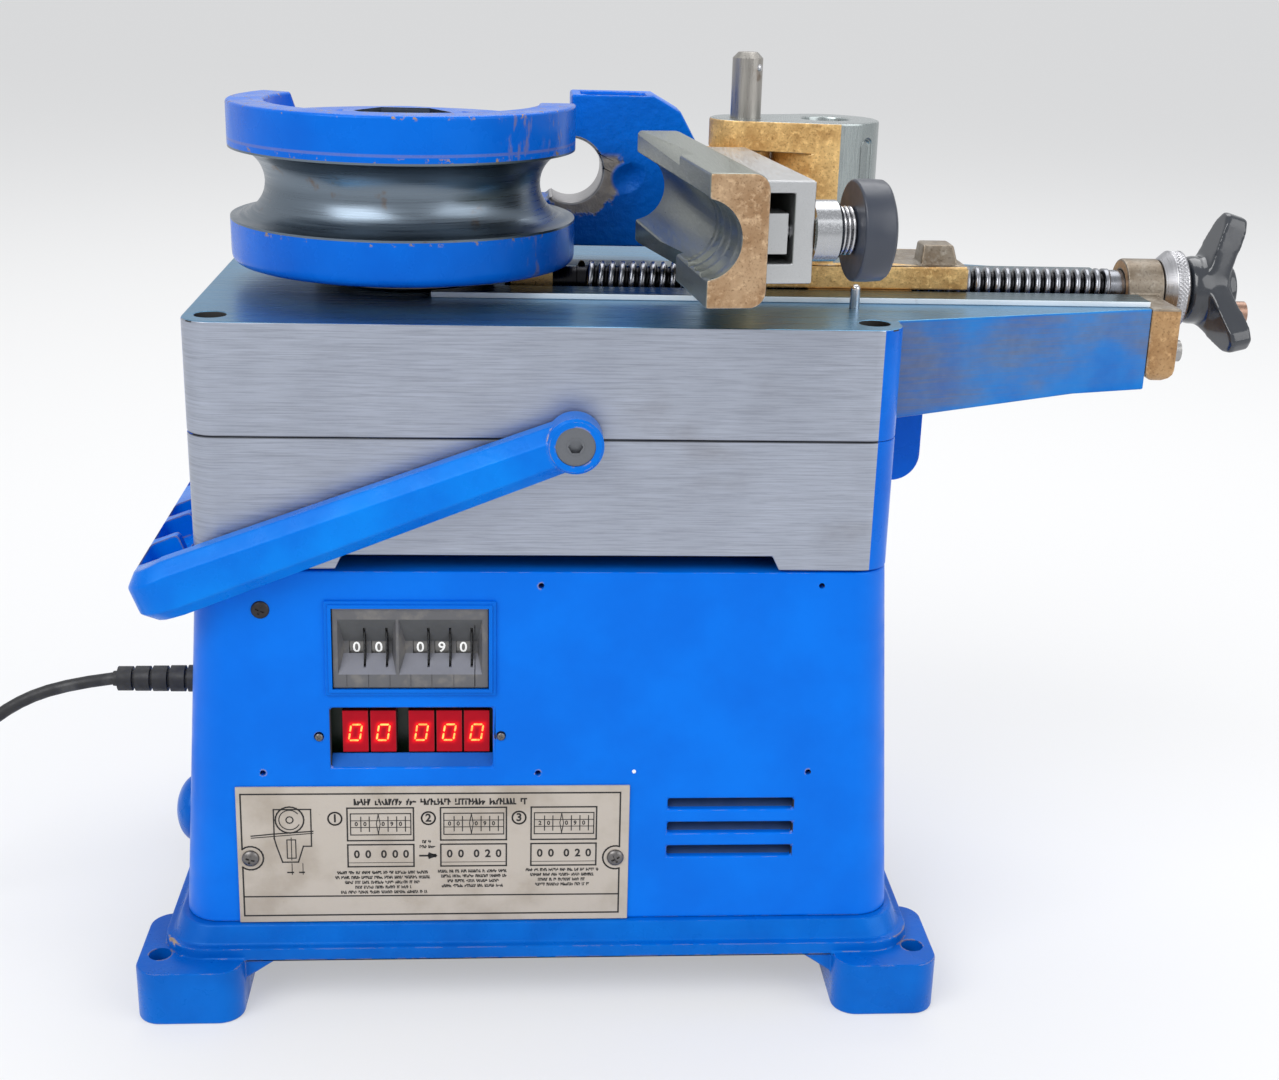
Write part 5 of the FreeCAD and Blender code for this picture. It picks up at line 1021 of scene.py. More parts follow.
# Carriage: a rough casting with a gold-brown skin that slides on the rails, machined grey on top and
# round its column, with a slot in the column, and an upper jaw that holds the pivot pin.
COLUMN_X = 106.5
COLUMN_RADIUS = 20.5
COLUMN_TOP = 323
SLOT_ANGLE = math.radians(-47)
machined_grey = milled_metal("machined_grey", (0.38, 0.42, 0.42), 0.26, (1, 1, 20), 0.006, 0.85, 0.4)
slot_profile = [(-3, 296), (3, 296), (3, 314)] + arc((0, 314), 3, 15, 180, 8)
slot_stand = (Matrix.Translation((COLUMN_X, 0, 0)) @ Matrix.Rotation(SLOT_ANGLE, 4, "Z")
              @ Matrix.Rotation(math.radians(90), 4, "Z") @ Matrix.Rotation(math.radians(90), 4, "X"))
slot_tool = extruded(slot_profile, COLUMN_RADIUS - 1.3, COLUMN_RADIUS + 3, slot_stand)
BLOCK_TOP = 278.1
carriage = cut(node_copy("carriage"), slot_tool)
for vertex in carriage.verts:
    if vertex.co.z > BLOCK_TOP - 0.2 and vertex.co.x > COLUMN_X + 25:
        vertex.co.x -= 2.0 if vertex.co.x > 150 else -0.8
        vertex.co.y += 1.4 if vertex.co.y < -10 else -0.6
bmesh.ops.triangulate(carriage, faces=[face for face in carriage.faces if len(face.verts) > 4])
eased(carriage, 0.9)


def carriage_faces(normal, middle):
    """Machined on top and round the column, rough and gold elsewhere."""
    beside = math.hypot(middle.x - COLUMN_X, middle.y)
    if middle.z > COLUMN_TOP - 4 and (normal.z > 0.4 or beside < 11):
        return 1
    on_column = COLUMN_RADIUS - 4 < beside < COLUMN_RADIUS + 1 and 272 < middle.z and middle.x > COLUMN_X + 3
    if middle.x > COLUMN_X + 25 and (normal.z > 0.6 or middle.z > 268.5):
        return 2
    return 1 if on_column else 0


painted(carriage, carriage_faces)
finished(carriage, "slide", [gold_cast, machined_grey, worn_cast], "carriage_slide",
         ["carriage"])
PIN_X, PIN_Y = 75.6, -2
PIN_FOOT, PIN_TOP = 270.0, 347
pin_steel = steel("pin_steel", (0.42, 0.40, 0.37), 0.3, 0.6, (1, 1, 20))
pin_profile = [(0, PIN_FOOT), (4.75, PIN_FOOT), (5.75, PIN_FOOT + 1), (5.75, PIN_TOP - 2.2),
               (3.7, PIN_TOP - 0.1), (3.4, PIN_TOP), (0, PIN_TOP)]
finished(turned(pin_profile, (PIN_X, PIN_Y, 0), steps=48), "swing_pin", [pin_steel], "pin",
         ["pivot_pin"])
finish_node("pin_ball", bright_steel)


# Die holder and counter-die: a machined channel, gold-brown outside, that swings on the pivot pin, and
# the long grooved die it carries, bare steel whose grey-green sides are a painted reflection and whose
# brown end face is partly oxide, partly a painted reflection of brown surroundings.
YAW_HOLDER = math.radians(6.5)
holder_turn = Matrix.Translation((PIN_X, PIN_Y, 0)) @ Matrix.Rotation(YAW_HOLDER, 4, "Z")
square = holder_turn.inverted()
channel_metal = milled_metal("channel_metal", (0.57, 0.58, 0.59), 0.34, (1, 20, 1), 0.012, 0.85, 0.5)
holder = eased(node_copy("die_holder"), 0.7)


def holder_faces(normal, middle):
    """Machined in front and inside the channel, rough and gold elsewhere."""
    here = square @ Vector(middle)
    way = square.to_3x3() @ Vector(normal)
    return 1 if way.y < -0.5 and here.y < -112 or -20.9 < here.x < -10 and here.y < -20 else 0


painted(holder, holder_faces)
finished(holder, "holder_channel", [gold_cast, channel_metal], "holder", ["die_holder"])

die_sides_green_reflection = milled_metal("die_sides_green_reflection", (0.26, 0.28, 0.25), 0.34, (1, 30, 1), 0.01, 0.8, 0.7)
die_ends_oxide_and_reflection = rough_gold("die_ends_oxide_and_reflection", (0.47, 0.32, 0.19), 0.4, 0.5, 0.03, 2.4)
die = eased(node_copy("counter_die"), 0.8)
DIE_LEFT, DIE_LOW, DIE_TOP = -41, 275.1, 317.6
STEP_AT, FAR_END = -78, 6
SHOULDER_FAR = 2
shoulders = [[(DIE_LEFT - 1, DIE_TOP - 4), (DIE_LEFT + 7, DIE_TOP + 1), (DIE_LEFT - 1, DIE_TOP + 1)],
             [(DIE_LEFT - 1, DIE_LOW + 14), (DIE_LEFT - 1, DIE_LOW - 1), (DIE_LEFT + 11, DIE_LOW - 1)]]
lay = Matrix.Rotation(math.radians(90), 4, "X")
tools = [extruded(outline, -FAR_END, -STEP_AT, lay) for outline in shoulders]
for tool, corner, way in zip(tools, (DIE_TOP, DIE_LOW), (-1, 1)):
    for vertex in tool.verts:
        if vertex.co.y > 0 and vertex.co.x > DIE_LEFT:
            vertex.co.x = DIE_LEFT + SHOULDER_FAR
        elif vertex.co.y > 0 and abs(vertex.co.z - corner) > 2:
            vertex.co.z = corner + way * SHOULDER_FAR
for near, far, extra in ((-122, -113, 0.9), (-111, -104, 0.6), (-101, -95, 0.9), (-92, -88, 0.5)):
    ring = [(0, near), (TUBE_RADIUS, near), (TUBE_RADIUS + extra, (near + far) / 2), (TUBE_RADIUS, far),
            (0, far)]
    tools.append(turned(ring, (DIE_LEFT - 2, 0, TUBE_HEIGHT), "y", 40))
for tool in tools:
    bmesh.ops.transform(tool, matrix=holder_turn, verts=tool.verts)
die = cut(die, *tools)


def die_faces(normal, middle):
    """Brown end faces, partly oxide and partly painted reflection; grey-green sides, a painted reflection."""
    way = square.to_3x3() @ Vector(normal)
    return 1 if abs(way.y) > 0.8 else 0


painted(die, die_faces)
finished(die, "grooved_die", [die_sides_green_reflection, die_ends_oxide_and_reflection], "die", ["counter_die"])
finish_node("die_key", channel_metal)


# Plunger: a chromed sleeve on the holder's outer side, with a sprung pin and a domed black knob.
PLUNGER_Y = -108
PLUNGER_HEIGHT = 297
BUTTON_START = 11
BUTTON_END = 25.4
BUTTON_RADIUS = 16.6
chrome = steel("chrome", (0.50, 0.51, 0.53), 0.2, 0.1)
plunger_at = (0, PLUNGER_Y, PLUNGER_HEIGHT)
sleeve_profile = [(3.06, -3.75), (9.4, -3.75), (10, -3.2), (10, 5.0), (9.2, 5.9), (6.3, 6.1), (6.3, 10.1),
                  (3.06, 10.1), (3.06, -3.75)]
sleeve = turned(sleeve_profile, plunger_at, "x", 48)
coils = []
for middle in (7.0, 8.5, 10.0):
    loop = arc((7.3, middle), 0.72, 0, 360, 10)
    coils.append((turned(loop, plunger_at, "x", 40), 1))
sleeve = joined((sleeve, 0), *coils)
bmesh.ops.transform(sleeve, matrix=holder_turn, verts=sleeve.verts)
finished(sleeve, "sleeve", [chrome, bright_steel], "holder", ["plunger_sleeve"])
finish_node("plunger_spring", bright_steel)
satin_black = Finish("satin_black", (0.035, 0.042, 0.06), 0.34)
satin_black.feed("Roughness", satin_black.spread(satin_black.grain(6, detail=5), 0.3, 0.75, 0.28, 0.42))
satin_black.relief(satin_black.grain(0.8), 0.01)
button_profile = ([(0, BUTTON_START), (BUTTON_RADIUS - 1, BUTTON_START)]
                  + arc((BUTTON_RADIUS - 0.8, BUTTON_START + 0.8), 0.8, 270, 360, 3)
                  + [(BUTTON_RADIUS + 0.1, BUTTON_START + 5), (BUTTON_RADIUS - 0.2, BUTTON_START + 9.6),
                     (BUTTON_RADIUS - 0.9, BUTTON_START + 10.6), (BUTTON_RADIUS - 3.6, BUTTON_START + 11.8),
                     (BUTTON_RADIUS - 8, BUTTON_START + 13.1), (6, BUTTON_START + 13.8),
                     (3.4, BUTTON_START + 14), (2.8, BUTTON_END), (0, BUTTON_END)])
button = turned(button_profile, plunger_at, "x", 56)
bmesh.ops.transform(button, matrix=holder_turn, verts=button.verts)
finished(button, "plunger_button", [satin_black], "plunger", ["plunger_knob"], sharp=40)


# Carrying handle: a cast bow round the machine's left end, with three long facets on each arm, hung on
# two dark countersunk pivot screws, painted blue and chipped along its ridges.
PIVOT = (9.9, 0, 220.1)
SLOPE = math.radians(21)
handle_turn = Matrix.Translation(PIVOT) @ Matrix.Rotation(SLOPE, 4, "Y").inverted()
handle_blue = blue_enamel("handle_blue", (0.0, 0.13, 0.60), (0.0, 0.20, 0.74), wear=0.75, cast=0.1, chips=0.3,
                          gloss=0.22)
ARM_IN, ARM_OUT = 87.6, 99.6
GRIP_NEAR, GRIP_FAR = 151, 166.2
GRIP_HALF = 9
BEND = 8.4
FACET = 4.6
EYE_RADIUS = 9.9
EYE_PROUD = 0.25
BORE = 6.95
KEY_RADIUS = 2.6
POCKET_SPANS = ((-84, -60), (-55.5, -33), (-28.5, -12), (12, 28.5), (33, 55.5), (60, 84))


def bow_section(place, heading, wide, half):
    """Return one section of the bow: flat inside, with three facets outside."""
    outward = Vector((heading.y, -heading.x, 0))
    if outward.dot(Vector((place[0] + 60, place[1], 0))) < 0:
        outward = -outward
    low = wide / 2
    shape = [(-low, half - 1), (1 - low, half), (low - FACET, half), (low, half - FACET),
             (low, FACET - half), (low - FACET, -half), (1 - low, -half), (-low, 1 - half)]
    return [Vector((place[0], place[1], 0)) + outward * out + Vector((0, 0, height)) for out, height in shape]


def bow_path():
    """Return the stops along the bow: place, heading, width and half height."""
    middle = (ARM_IN + ARM_OUT) / 2
    wide = ARM_OUT - ARM_IN
    bar_wide = GRIP_FAR - GRIP_NEAR
    bend_y = BEND - middle
    bar = -(GRIP_NEAR + GRIP_FAR) / 2
    turn_in = bar + BEND
    stops = [((x, -middle), Vector((-1, 0, 0)), wide, 8.7 + 1.9 * -x / 148) for x in (-3, -50, -100, turn_in)]
    for count in range(1, 8):
        share = count / 8
        angle = math.radians(-90 - 90 * share)
        across, along = math.cos(angle), math.sin(angle)
        here = wide + (bar_wide - wide) * share
        inner = BEND - here / 2
        outer = (BEND + here / 2) / (abs(across) ** 3 + abs(along) ** 3) ** (1 / 3)
        reach = (inner + outer) / 2
        stops.append(((turn_in + reach * across, bend_y + reach * along), Vector((along, -across, 0)),
                      outer - inner, 10.6 + (GRIP_HALF - 10.6) * share))
    stops.append(((bar, bend_y), Vector((0, 1, 0)), bar_wide, GRIP_HALF))
    mirrored = [((place[0], -place[1]), Vector((heading.x, -heading.y, 0)), width, half)
                for place, heading, width, half in reversed(stops)]
    return stops + mirrored


bow = bmesh.new()
rows = [[bow.verts.new(spot) for spot in bow_section(*stop)] for stop in bow_path()]
for row, after in zip(rows, rows[1:]):
    for index in range(8):
        bow.faces.new((row[index], row[index - 1], after[index - 1], after[index]))
bow.faces.new(rows[0])
bow.faces.new(rows[-1])
bmesh.ops.recalc_face_normals(bow, faces=bow.faces)
eased(bow, 0.7, 2, 24)
pockets = []
for near, far in POCKET_SPANS:
    pocket = block(-GRIP_FAR + 4, -GRIP_NEAR + 3, near, far, 0.5, 12)
    eased(pocket, 3.6, 4, pick=lambda edge: max(end.co.x for end in edge.verts) < -GRIP_NEAR
          and max(end.co.z for end in edge.verts) > 1)
    pockets.append(pocket)
drill = turned([(0, -120), (BORE, -120), (BORE, 120), (0, 120)], (0, 0, 0), "y", 56)
bow = cut(bow, *pockets, drill)
eyes = [turned([(BORE, low), (EYE_RADIUS - 0.9, low), (EYE_RADIUS, low + 0.9), (EYE_RADIUS, high - 0.9),
                (EYE_RADIUS - 0.9, high), (BORE, high), (BORE, low)], (0, 0, 0), "y", 56)
        for low, high in ((-ARM_OUT - EYE_PROUD, EYE_PROUD - ARM_IN),
                          (ARM_IN - EYE_PROUD, ARM_OUT + EYE_PROUD))]
bow = joined(bow, *eyes)
bmesh.ops.transform(bow, matrix=handle_turn, verts=bow.verts)
finished(bow, "carrying_bow", [handle_blue], "handle", ["carry_handle"])
black_oxide = steel("grey_screws", (0.20, 0.21, 0.23), 0.36, 0.3)
screws = node_copy("handle_screws")
screw_face = max(vertex.co.y for vertex in screws.verts)
plugs = []
for side in (-1, 1):
    filled = turned([(0, 0), (3.25, 0), (3.25, 4), (0, 4)], (0, 0, 0), "y", 48)
    key = turned([(0, -1), (KEY_RADIUS, -1), (KEY_RADIUS, 5), (0, 5)], (0, 0, 0), "y", 6)
    filled = cut(filled, key)
    bmesh.ops.translate(filled, vec=(PIVOT[0], side * (screw_face - 2) - 2, PIVOT[2]), verts=filled.verts)
    plugs.append(filled)
finished(joined(screws, *plugs), "pivot_screws", [black_oxide], "frame", ["handle_screws"])


# Angle preset: five number wheels on one axle behind a grey moulded front with two sunken windows, in a
# raised ring painted blue. Each wheel is a drum with white numbers and a thin toothed disc for the thumb.
BEZEL_LEFT, BEZEL_RIGHT = -79, -17.4
BEZEL_LOW, BEZEL_TOP = 123.3, 159.2
RING_PROUD = 1.9
RING_STEP = 1.2
INSERT_PROUD = 1.0
INSERT_INSET = 2.6
VALLEY_DEEP = 3.6
SHELL_BACK = 8
WHEEL_X = (-67.6, -59.6, -44.6, -36.8, -29.0)
WHEEL_Y = -72.9
WHEEL_HEIGHT = 140.3
DRUM_RADIUS = 10.7
THUMB_RADIUS = 14.5
THUMB_TEETH = 44
DISC_ASIDE = 2.75
DISC_HALF = 0.3
SLOT_HALF = 0.45
PRESET = (0, 0, 0, 9, 0)
POCKETS = ((-74.3, -53.4, -72.6, -55.2), (-52.4, -22.4, -50.4, -24.2))
POCKET_LOW, POCKET_TOP = 131.4, 152.3
BAND_LOW, BAND_TOP = 138.0, 142.7
SLOT_LOW, SLOT_TOP = 133.6, 148.6
MODULE_LINES = (-71.2, -63.4, -55.7, -48.2, -40.6, -32.7)
front_tilt = Matrix.Translation((0, front_y(0), 0)) @ Matrix.Rotation(-DRAFT, 4, "X")


def on_front(bm):
    """Lay a piece that is modelled against the plane y = 0 on the sloping front."""
    bmesh.ops.transform(bm, matrix=front_tilt, verts=bm.verts)
    return bm


def funnel(left, right, low, top, near, inner, far):
    """Make a box whose far side is drawn in to inner limits (left, right, low, top)."""
    bm = block(left, right, near, far, low, top)
    for vertex in bm.verts:
        if vertex.co.y > (near + far) / 2:
            vertex.co.x = inner[0] if vertex.co.x < (left + right) / 2 else inner[1]
            vertex.co.z = inner[2] if vertex.co.z < (low + top) / 2 else inner[3]
    return bm


def written(text, size, thick=0.04, bold=0.015):
    """Set plain figures standing up, centred on the origin, as a thin raised mesh in mm."""
    letters = bpy.data.curves.new("figures", "FONT")
    letters.body = text
    letters.size = size
    letters.align_x = "CENTER"
    letters.align_y = "CENTER"
    letters.extrude = thick
    letters.offset = size * bold
    letters.resolution_u = 3
    holder = bpy.data.objects.new("figures", letters)
    mesh = bpy.data.meshes.new_from_object(holder)
    bm = bmesh.new()
    bm.from_mesh(mesh)
    bmesh.ops.rotate(bm, verts=bm.verts, cent=(0, 0, 0), matrix=Matrix.Rotation(math.radians(90), 3, "X"))
    bpy.data.objects.remove(holder)
    bpy.data.curves.remove(letters)
    bpy.data.meshes.remove(mesh)
    return bm


ring_blue = blue_enamel("ring_blue", (0.0, 0.11, 0.56), (0.0, 0.135, 0.64), wear=-0.5, cast=0.02, gloss=0.3)
grey_moulding = Finish("grey_moulding", (0.10, 0.10, 0.105), 0.42)
grime = grey_moulding.spread(grey_moulding.grain(6, detail=5), 0.45, 0.75)
grey_moulding.feed("Base Color", grey_moulding.blend(grime, (0.10, 0.10, 0.107), (0.17, 0.16, 0.15)))
grey_moulding.feed("Roughness", grey_moulding.spread(grey_moulding.grain(3), 0.3, 0.7, 0.34, 0.55))
grey_moulding.relief(grey_moulding.grain(0.35), 0.015)

ring = extruded([(BEZEL_LEFT, BEZEL_LOW), (BEZEL_RIGHT, BEZEL_LOW), (BEZEL_RIGHT, BEZEL_TOP),
                 (BEZEL_LEFT, BEZEL_TOP)], 0, RING_PROUD - 0.7, Matrix.Rotation(math.radians(90), 4, "X"))
raised = block(BEZEL_LEFT + RING_STEP, BEZEL_RIGHT - RING_STEP, -RING_PROUD, 0.1,
               BEZEL_LOW + RING_STEP, BEZEL_TOP - RING_STEP)
eased(ring, 0.35)
eased(raised, 0.35)
opening = [block(BEZEL_LEFT + INSERT_INSET, BEZEL_RIGHT - INSERT_INSET, -RING_PROUD - 1, 2,
                 BEZEL_LOW + INSERT_INSET, BEZEL_TOP - INSERT_INSET) for _ in range(2)]
ring = joined((cut(ring, opening[0]), 0), (cut(raised, opening[1]), 0))

insert = block(BEZEL_LEFT + INSERT_INSET + 0.15, BEZEL_RIGHT - INSERT_INSET - 0.15, -INSERT_PROUD, SHELL_BACK,
               BEZEL_LOW + INSERT_INSET + 0.15, BEZEL_TOP - INSERT_INSET - 0.15)
eased(insert, 0.5)
tools = [block(BEZEL_LEFT + 4, BEZEL_RIGHT - 4, VALLEY_DEEP + 0.4, SHELL_BACK + 1, BEZEL_LOW + 4,
               BEZEL_TOP - 4)]
for left, right, inner_left, inner_right in POCKETS:
    tools.append(funnel(left, right, POCKET_LOW, POCKET_TOP, -INSERT_PROUD - 0.001,
                        (inner_left, inner_right, BAND_LOW, BAND_TOP), VALLEY_DEEP))
for x in WHEEL_X:
    tools.append(block(x - 3.0, x + 2.1, VALLEY_DEEP - 1, VALLEY_DEEP + 3, BAND_LOW, BAND_TOP))
    tools.append(block(x + DISC_ASIDE - SLOT_HALF, x + DISC_ASIDE + SLOT_HALF, -INSERT_PROUD - 1,
                       VALLEY_DEEP + 3, SLOT_LOW, SLOT_TOP))
for x in MODULE_LINES:
    tools.append(block(x - 0.12, x + 0.12, -INSERT_PROUD - 0.3, -INSERT_PROUD + 0.25, BEZEL_LOW + 3.4,
                       POCKET_LOW))
tools.append(block(-25.25, -24.95, -INSERT_PROUD - 0.3, VALLEY_DEEP - 0.4, BEZEL_LOW + 3.4, POCKET_TOP - 2.5))
insert = cut(insert, *tools)
# Downward-facing slopes get a darker copy of the grey, a painted shade; upward-facing ones a paler copy, a
# painted light.
painted(insert, lambda normal, middle: 2 if normal.z < -0.15 else 3 if normal.z > 0.15 else 1)
slope_painted_shade = Finish("slope_painted_shade", (0.05, 0.053, 0.058), 0.45)
slope_painted_shade.feed("Base Color", slope_painted_shade.blend(slope_painted_shade.grain(5, detail=5), (0.04, 0.042, 0.046),
                                               (0.075, 0.078, 0.082)))
slope_painted_light = Finish("slope_painted_light", (0.15, 0.155, 0.185), 0.45)
slope_painted_light.feed("Base Color", slope_painted_light.blend(slope_painted_light.grain(7, detail=5), (0.12, 0.123, 0.145),
                                               (0.185, 0.19, 0.225)))
preset_front = on_front(joined(ring, insert))
finished(preset_front, "preset_front", [ring_blue, grey_moulding, slope_painted_shade, slope_painted_light], "frame",
         ["angle_bezel"])

drum_grey = Finish("drum_grey", (0.16, 0.155, 0.15), 0.4)
drum_grey.feed("Base Color", drum_grey.blend(drum_grey.grain(4, detail=5), (0.11, 0.108, 0.105),
                                             (0.22, 0.21, 0.2)))
drum_grey.relief(drum_grey.grain(0.4), 0.01)
disc_black = Finish("disc_black", (0.012, 0.012, 0.013), 0.35)
disc_black.feed("Roughness", disc_black.spread(disc_black.grain(1.2), 0.3, 0.7, 0.28, 0.5))
# The white figures glow faintly, a painted light that makes them read brighter.
figure_white_glow = Finish("figure_white_glow", (0.9, 0.9, 0.88), 0.45, Emission_Color=(1, 1, 1, 1),
                      Emission_Strength=0.2)
figure_white_glow.feed("Roughness", figure_white_glow.spread(figure_white_glow.grain(0.6), 0.3, 0.7, 0.38, 0.6))
DRUM_LOWERED = math.radians(4.5)
FIGURE_TALL = 5.7
BENDS = (-1.8, -1.3, -0.8, -0.3, 0.2, 0.7, 1.2, 1.7)


def number_wheel():
    """Make one wheel round the x axis, with its nought turned to the front."""
    drum = turned([(2.1, -3.1), (DRUM_RADIUS - 0.3, -3.1), (DRUM_RADIUS, -2.8),
                   (DRUM_RADIUS, DISC_ASIDE - DISC_HALF),
                   (THUMB_RADIUS - 0.2, DISC_ASIDE - DISC_HALF), (THUMB_RADIUS, DISC_ASIDE - 0.15),
                   (THUMB_RADIUS, DISC_ASIDE + 0.15), (THUMB_RADIUS - 0.2, DISC_ASIDE + DISC_HALF),
                   (2.1, DISC_ASIDE + DISC_HALF), (2.1, -3.1)], (0, 0, 0), "x", THUMB_TEETH * 2)
    for vertex in drum.verts:
        round_place = math.atan2(vertex.co.z, vertex.co.y) * THUMB_TEETH * 2 / math.tau
        if vertex.co.yz.length > THUMB_RADIUS - 0.4 and round(round_place) % 2:
            vertex.co.yz = vertex.co.yz * (1 - 0.55 / THUMB_RADIUS)
    for face in drum.faces:
        face.material_index = 2 if face.calc_center_median().x > DISC_ASIDE - 0.6 else 0
    parts = [drum]
    for figure in range(10):
        mark = written(str(figure), FIGURE_TALL, bold=0.012)
        for height in BENDS:
            bmesh.ops.bisect_plane(mark, geom=mark.verts[:] + mark.edges[:] + mark.faces[:],
                                   plane_co=(0, 0, height), plane_no=(0, 0, 1))
        for vertex in mark.verts:
            out = DRUM_RADIUS + 0.03 - vertex.co.y
            around = math.pi + DRUM_LOWERED + math.tau * figure / 10 - vertex.co.z / DRUM_RADIUS
            vertex.co = (vertex.co.x - 0.35, out * math.cos(around), out * math.sin(around))
        parts.append((mark, 1))
    return joined(*parts)


pattern_wheel = number_wheel()
for index, (x, shown) in enumerate(zip(WHEEL_X, PRESET), 1):
    wheel = pattern_wheel.copy()
    bmesh.ops.rotate(wheel, verts=wheel.verts, cent=(0, 0, 0),
                     matrix=Matrix.Rotation(-math.tau * shown / 10, 3, "X"))
    bmesh.ops.translate(wheel, vec=(x, WHEEL_Y, WHEEL_HEIGHT), verts=wheel.verts)
    finished(wheel, f"number_wheel_{index}", [drum_grey, figure_white_glow, disc_black], f"wheel_{index}",
             [f"angle_wheel_{index}"])
pattern_wheel.free()


# Display: five red seven-segment digits, lit, on a board behind a window, with a painted sill under them,
# and the control board behind, with its relay and transformer.
DIGIT_X = (-69.1, -58.9, -44.9, -34.7, -24.6)
DIGIT_WIDE, DIGIT_TALL = 9.6, 16.6
DIGIT_LOW = 98.4
DIGIT_FRONT, BOARD_FRONT = -85, -77
WINDOW_LEFT, WINDOW_RIGHT = -77.7, -18.6
WINDOW_LOW = 94.4
LENS_COLUMNS, LENS_ROWS = 24, 40
SEGMENT = 0.65
NOUGHT_HALF, NOUGHT_TALL = 2.0, 6.3
LEAN = 0.16
NOUGHT_LOWER = 0.4


def segment(start, end, wide, thick=0.12):
    """Make one leaning bar of a digit, pointed at both ends."""
    start, end = Vector(start), Vector(end)
    way = (end - start).normalized()
    aside = Vector((-way.y, way.x)) * wide / 2
    gap = way * 0.28
    tip = way * wide / 2
    outline = [start + gap, start + gap + tip + aside, end - gap - tip + aside, end - gap,
               end - gap - tip - aside, start + gap + tip - aside]
    return extruded([(spot.x + spot.y * LEAN, spot.y) for spot in outline], 0, thick,
                    Matrix.Rotation(math.radians(90), 4, "X"))


def distance_to(spot, start, end):
    """Return how far a point is from a line between two points."""
    along = end - start
    share = max(0.0, min(1.0, (spot - start).dot(along) / along.length_squared))
    return (spot - start - along * share).length


NOUGHT = [((-NOUGHT_HALF, -NOUGHT_TALL / 2), (NOUGHT_HALF, -NOUGHT_TALL / 2)),
          ((-NOUGHT_HALF, NOUGHT_TALL / 2), (NOUGHT_HALF, NOUGHT_TALL / 2))]
for side in (-1, 1):
    NOUGHT += [((side * NOUGHT_HALF, -NOUGHT_TALL / 2), (side * NOUGHT_HALF, 0)),
               ((side * NOUGHT_HALF, 0), (side * NOUGHT_HALF, NOUGHT_TALL / 2))]

# The red filter glows, most round the lit segments: a painted glow of the segments' light.
red_filter = Finish("red_filter", (0.2, 0.001, 0.005), 0.25, Specular_IOR_Level=0.12)
halo = red_filter.step("Attribute", attribute_name="halo").outputs["Fac"]
clean = red_filter.spread(red_filter.grain(9, detail=3), 0.3, 0.7, 0.8, 1.0)
red_filter.feed("Emission Color", red_filter.blend(halo, (0.46, 0.0, 0.014), (0.9, 0.008, 0.010)))
red_filter.feed("Emission Strength", red_filter.sum("MULTIPLY", clean,
                                                    red_filter.spread(halo, 0, 1, 0.55, 1.0)))
lit_segment = Finish("lit_segment", (1.0, 0.3, 0.05), 0.5)
uneven = lit_segment.spread(lit_segment.grain(1.6, detail=3), 0.35, 0.65)
lit_segment.feed("Emission Color", lit_segment.blend(uneven, (1.0, 0.16, 0.03), (1.0, 0.5, 0.12)))
lit_segment.feed("Emission Strength", 1.15)

modules = []
for x in DIGIT_X:
    housing = eased(block(x - DIGIT_WIDE / 2, x + DIGIT_WIDE / 2, DIGIT_FRONT + 0.3, BOARD_FRONT, DIGIT_LOW,
                          DIGIT_LOW + DIGIT_TALL), 0.25)
    lens = bmesh.new()
    bmesh.ops.create_grid(lens, x_segments=LENS_COLUMNS, y_segments=LENS_ROWS, size=0.5)
    bmesh.ops.scale(lens, vec=(DIGIT_WIDE - 0.4, DIGIT_TALL - 0.2, 1), verts=lens.verts)
    edge = bmesh.ops.extrude_face_region(lens, geom=lens.faces[:])
    bmesh.ops.translate(lens, vec=(0, 0, 0.4), verts=[item for item in edge["geom"]
                                                      if isinstance(item, bmesh.types.BMVert)])
    glow = lens.verts.layers.float.new("halo")
    for vertex in lens.verts:
        spot = Vector((vertex.co.x - (vertex.co.y + NOUGHT_LOWER) * LEAN, vertex.co.y + NOUGHT_LOWER))
        near = min(distance_to(spot, Vector(start), Vector(end)) for start, end in NOUGHT)
        vertex[glow] = math.exp(-(near / 1.25) ** 2)
    bmesh.ops.recalc_face_normals(lens, faces=lens.faces)
    bmesh.ops.transform(lens, matrix=Matrix.Translation((x, DIGIT_FRONT + 0.4, DIGIT_LOW + DIGIT_TALL / 2))
                        @ Matrix.Rotation(math.radians(90), 4, "X"), verts=lens.verts)
    modules += [(housing, 0), (lens, 1)]
    for start, end in NOUGHT:
        bar = segment(start, end, SEGMENT)
        bmesh.ops.translate(bar, vec=(x, DIGIT_FRONT, DIGIT_LOW + DIGIT_TALL / 2 - NOUGHT_LOWER),
                            verts=bar.verts)
        modules.append((bar, 2))
dark_red = Finish("digit_housing", (0.10, 0.004, 0.006), 0.4)
dark_red.feed("Base Color", dark_red.blend(dark_red.grain(3), (0.07, 0.003, 0.005), (0.14, 0.006, 0.01)))
finished(joined(*modules), "digit_modules", [dark_red, red_filter, lit_segment], "frame",
         ["display_digits"])

sill = extruded([(0.9, WINDOW_LOW + 0.02), (5.9, WINDOW_LOW + 0.02), (5.9, DIGIT_LOW - 0.1),
                 (5.1, DIGIT_LOW - 0.1)], WINDOW_LEFT + 0.05, WINDOW_RIGHT - 0.05,
                SECTION_ALONG_X)
on_front(sill)
sill_blue = blue_enamel("sill_blue", (0.01, 0.09, 0.42), (0.02, 0.13, 0.50), wear=-0.5, cast=0.02, gloss=0.22)
finished(sill, "window_sill", [sill_blue], "frame")
board_green = Finish("board_green", (0.006, 0.02, 0.009), 0.4)
board_green.feed("Base Color", board_green.blend(board_green.grain(4, detail=5), (0.004, 0.012, 0.006),
                                                 (0.014, 0.04, 0.018)))
for node in ("display_board", "control_board"):
    finish_node(node, board_green)


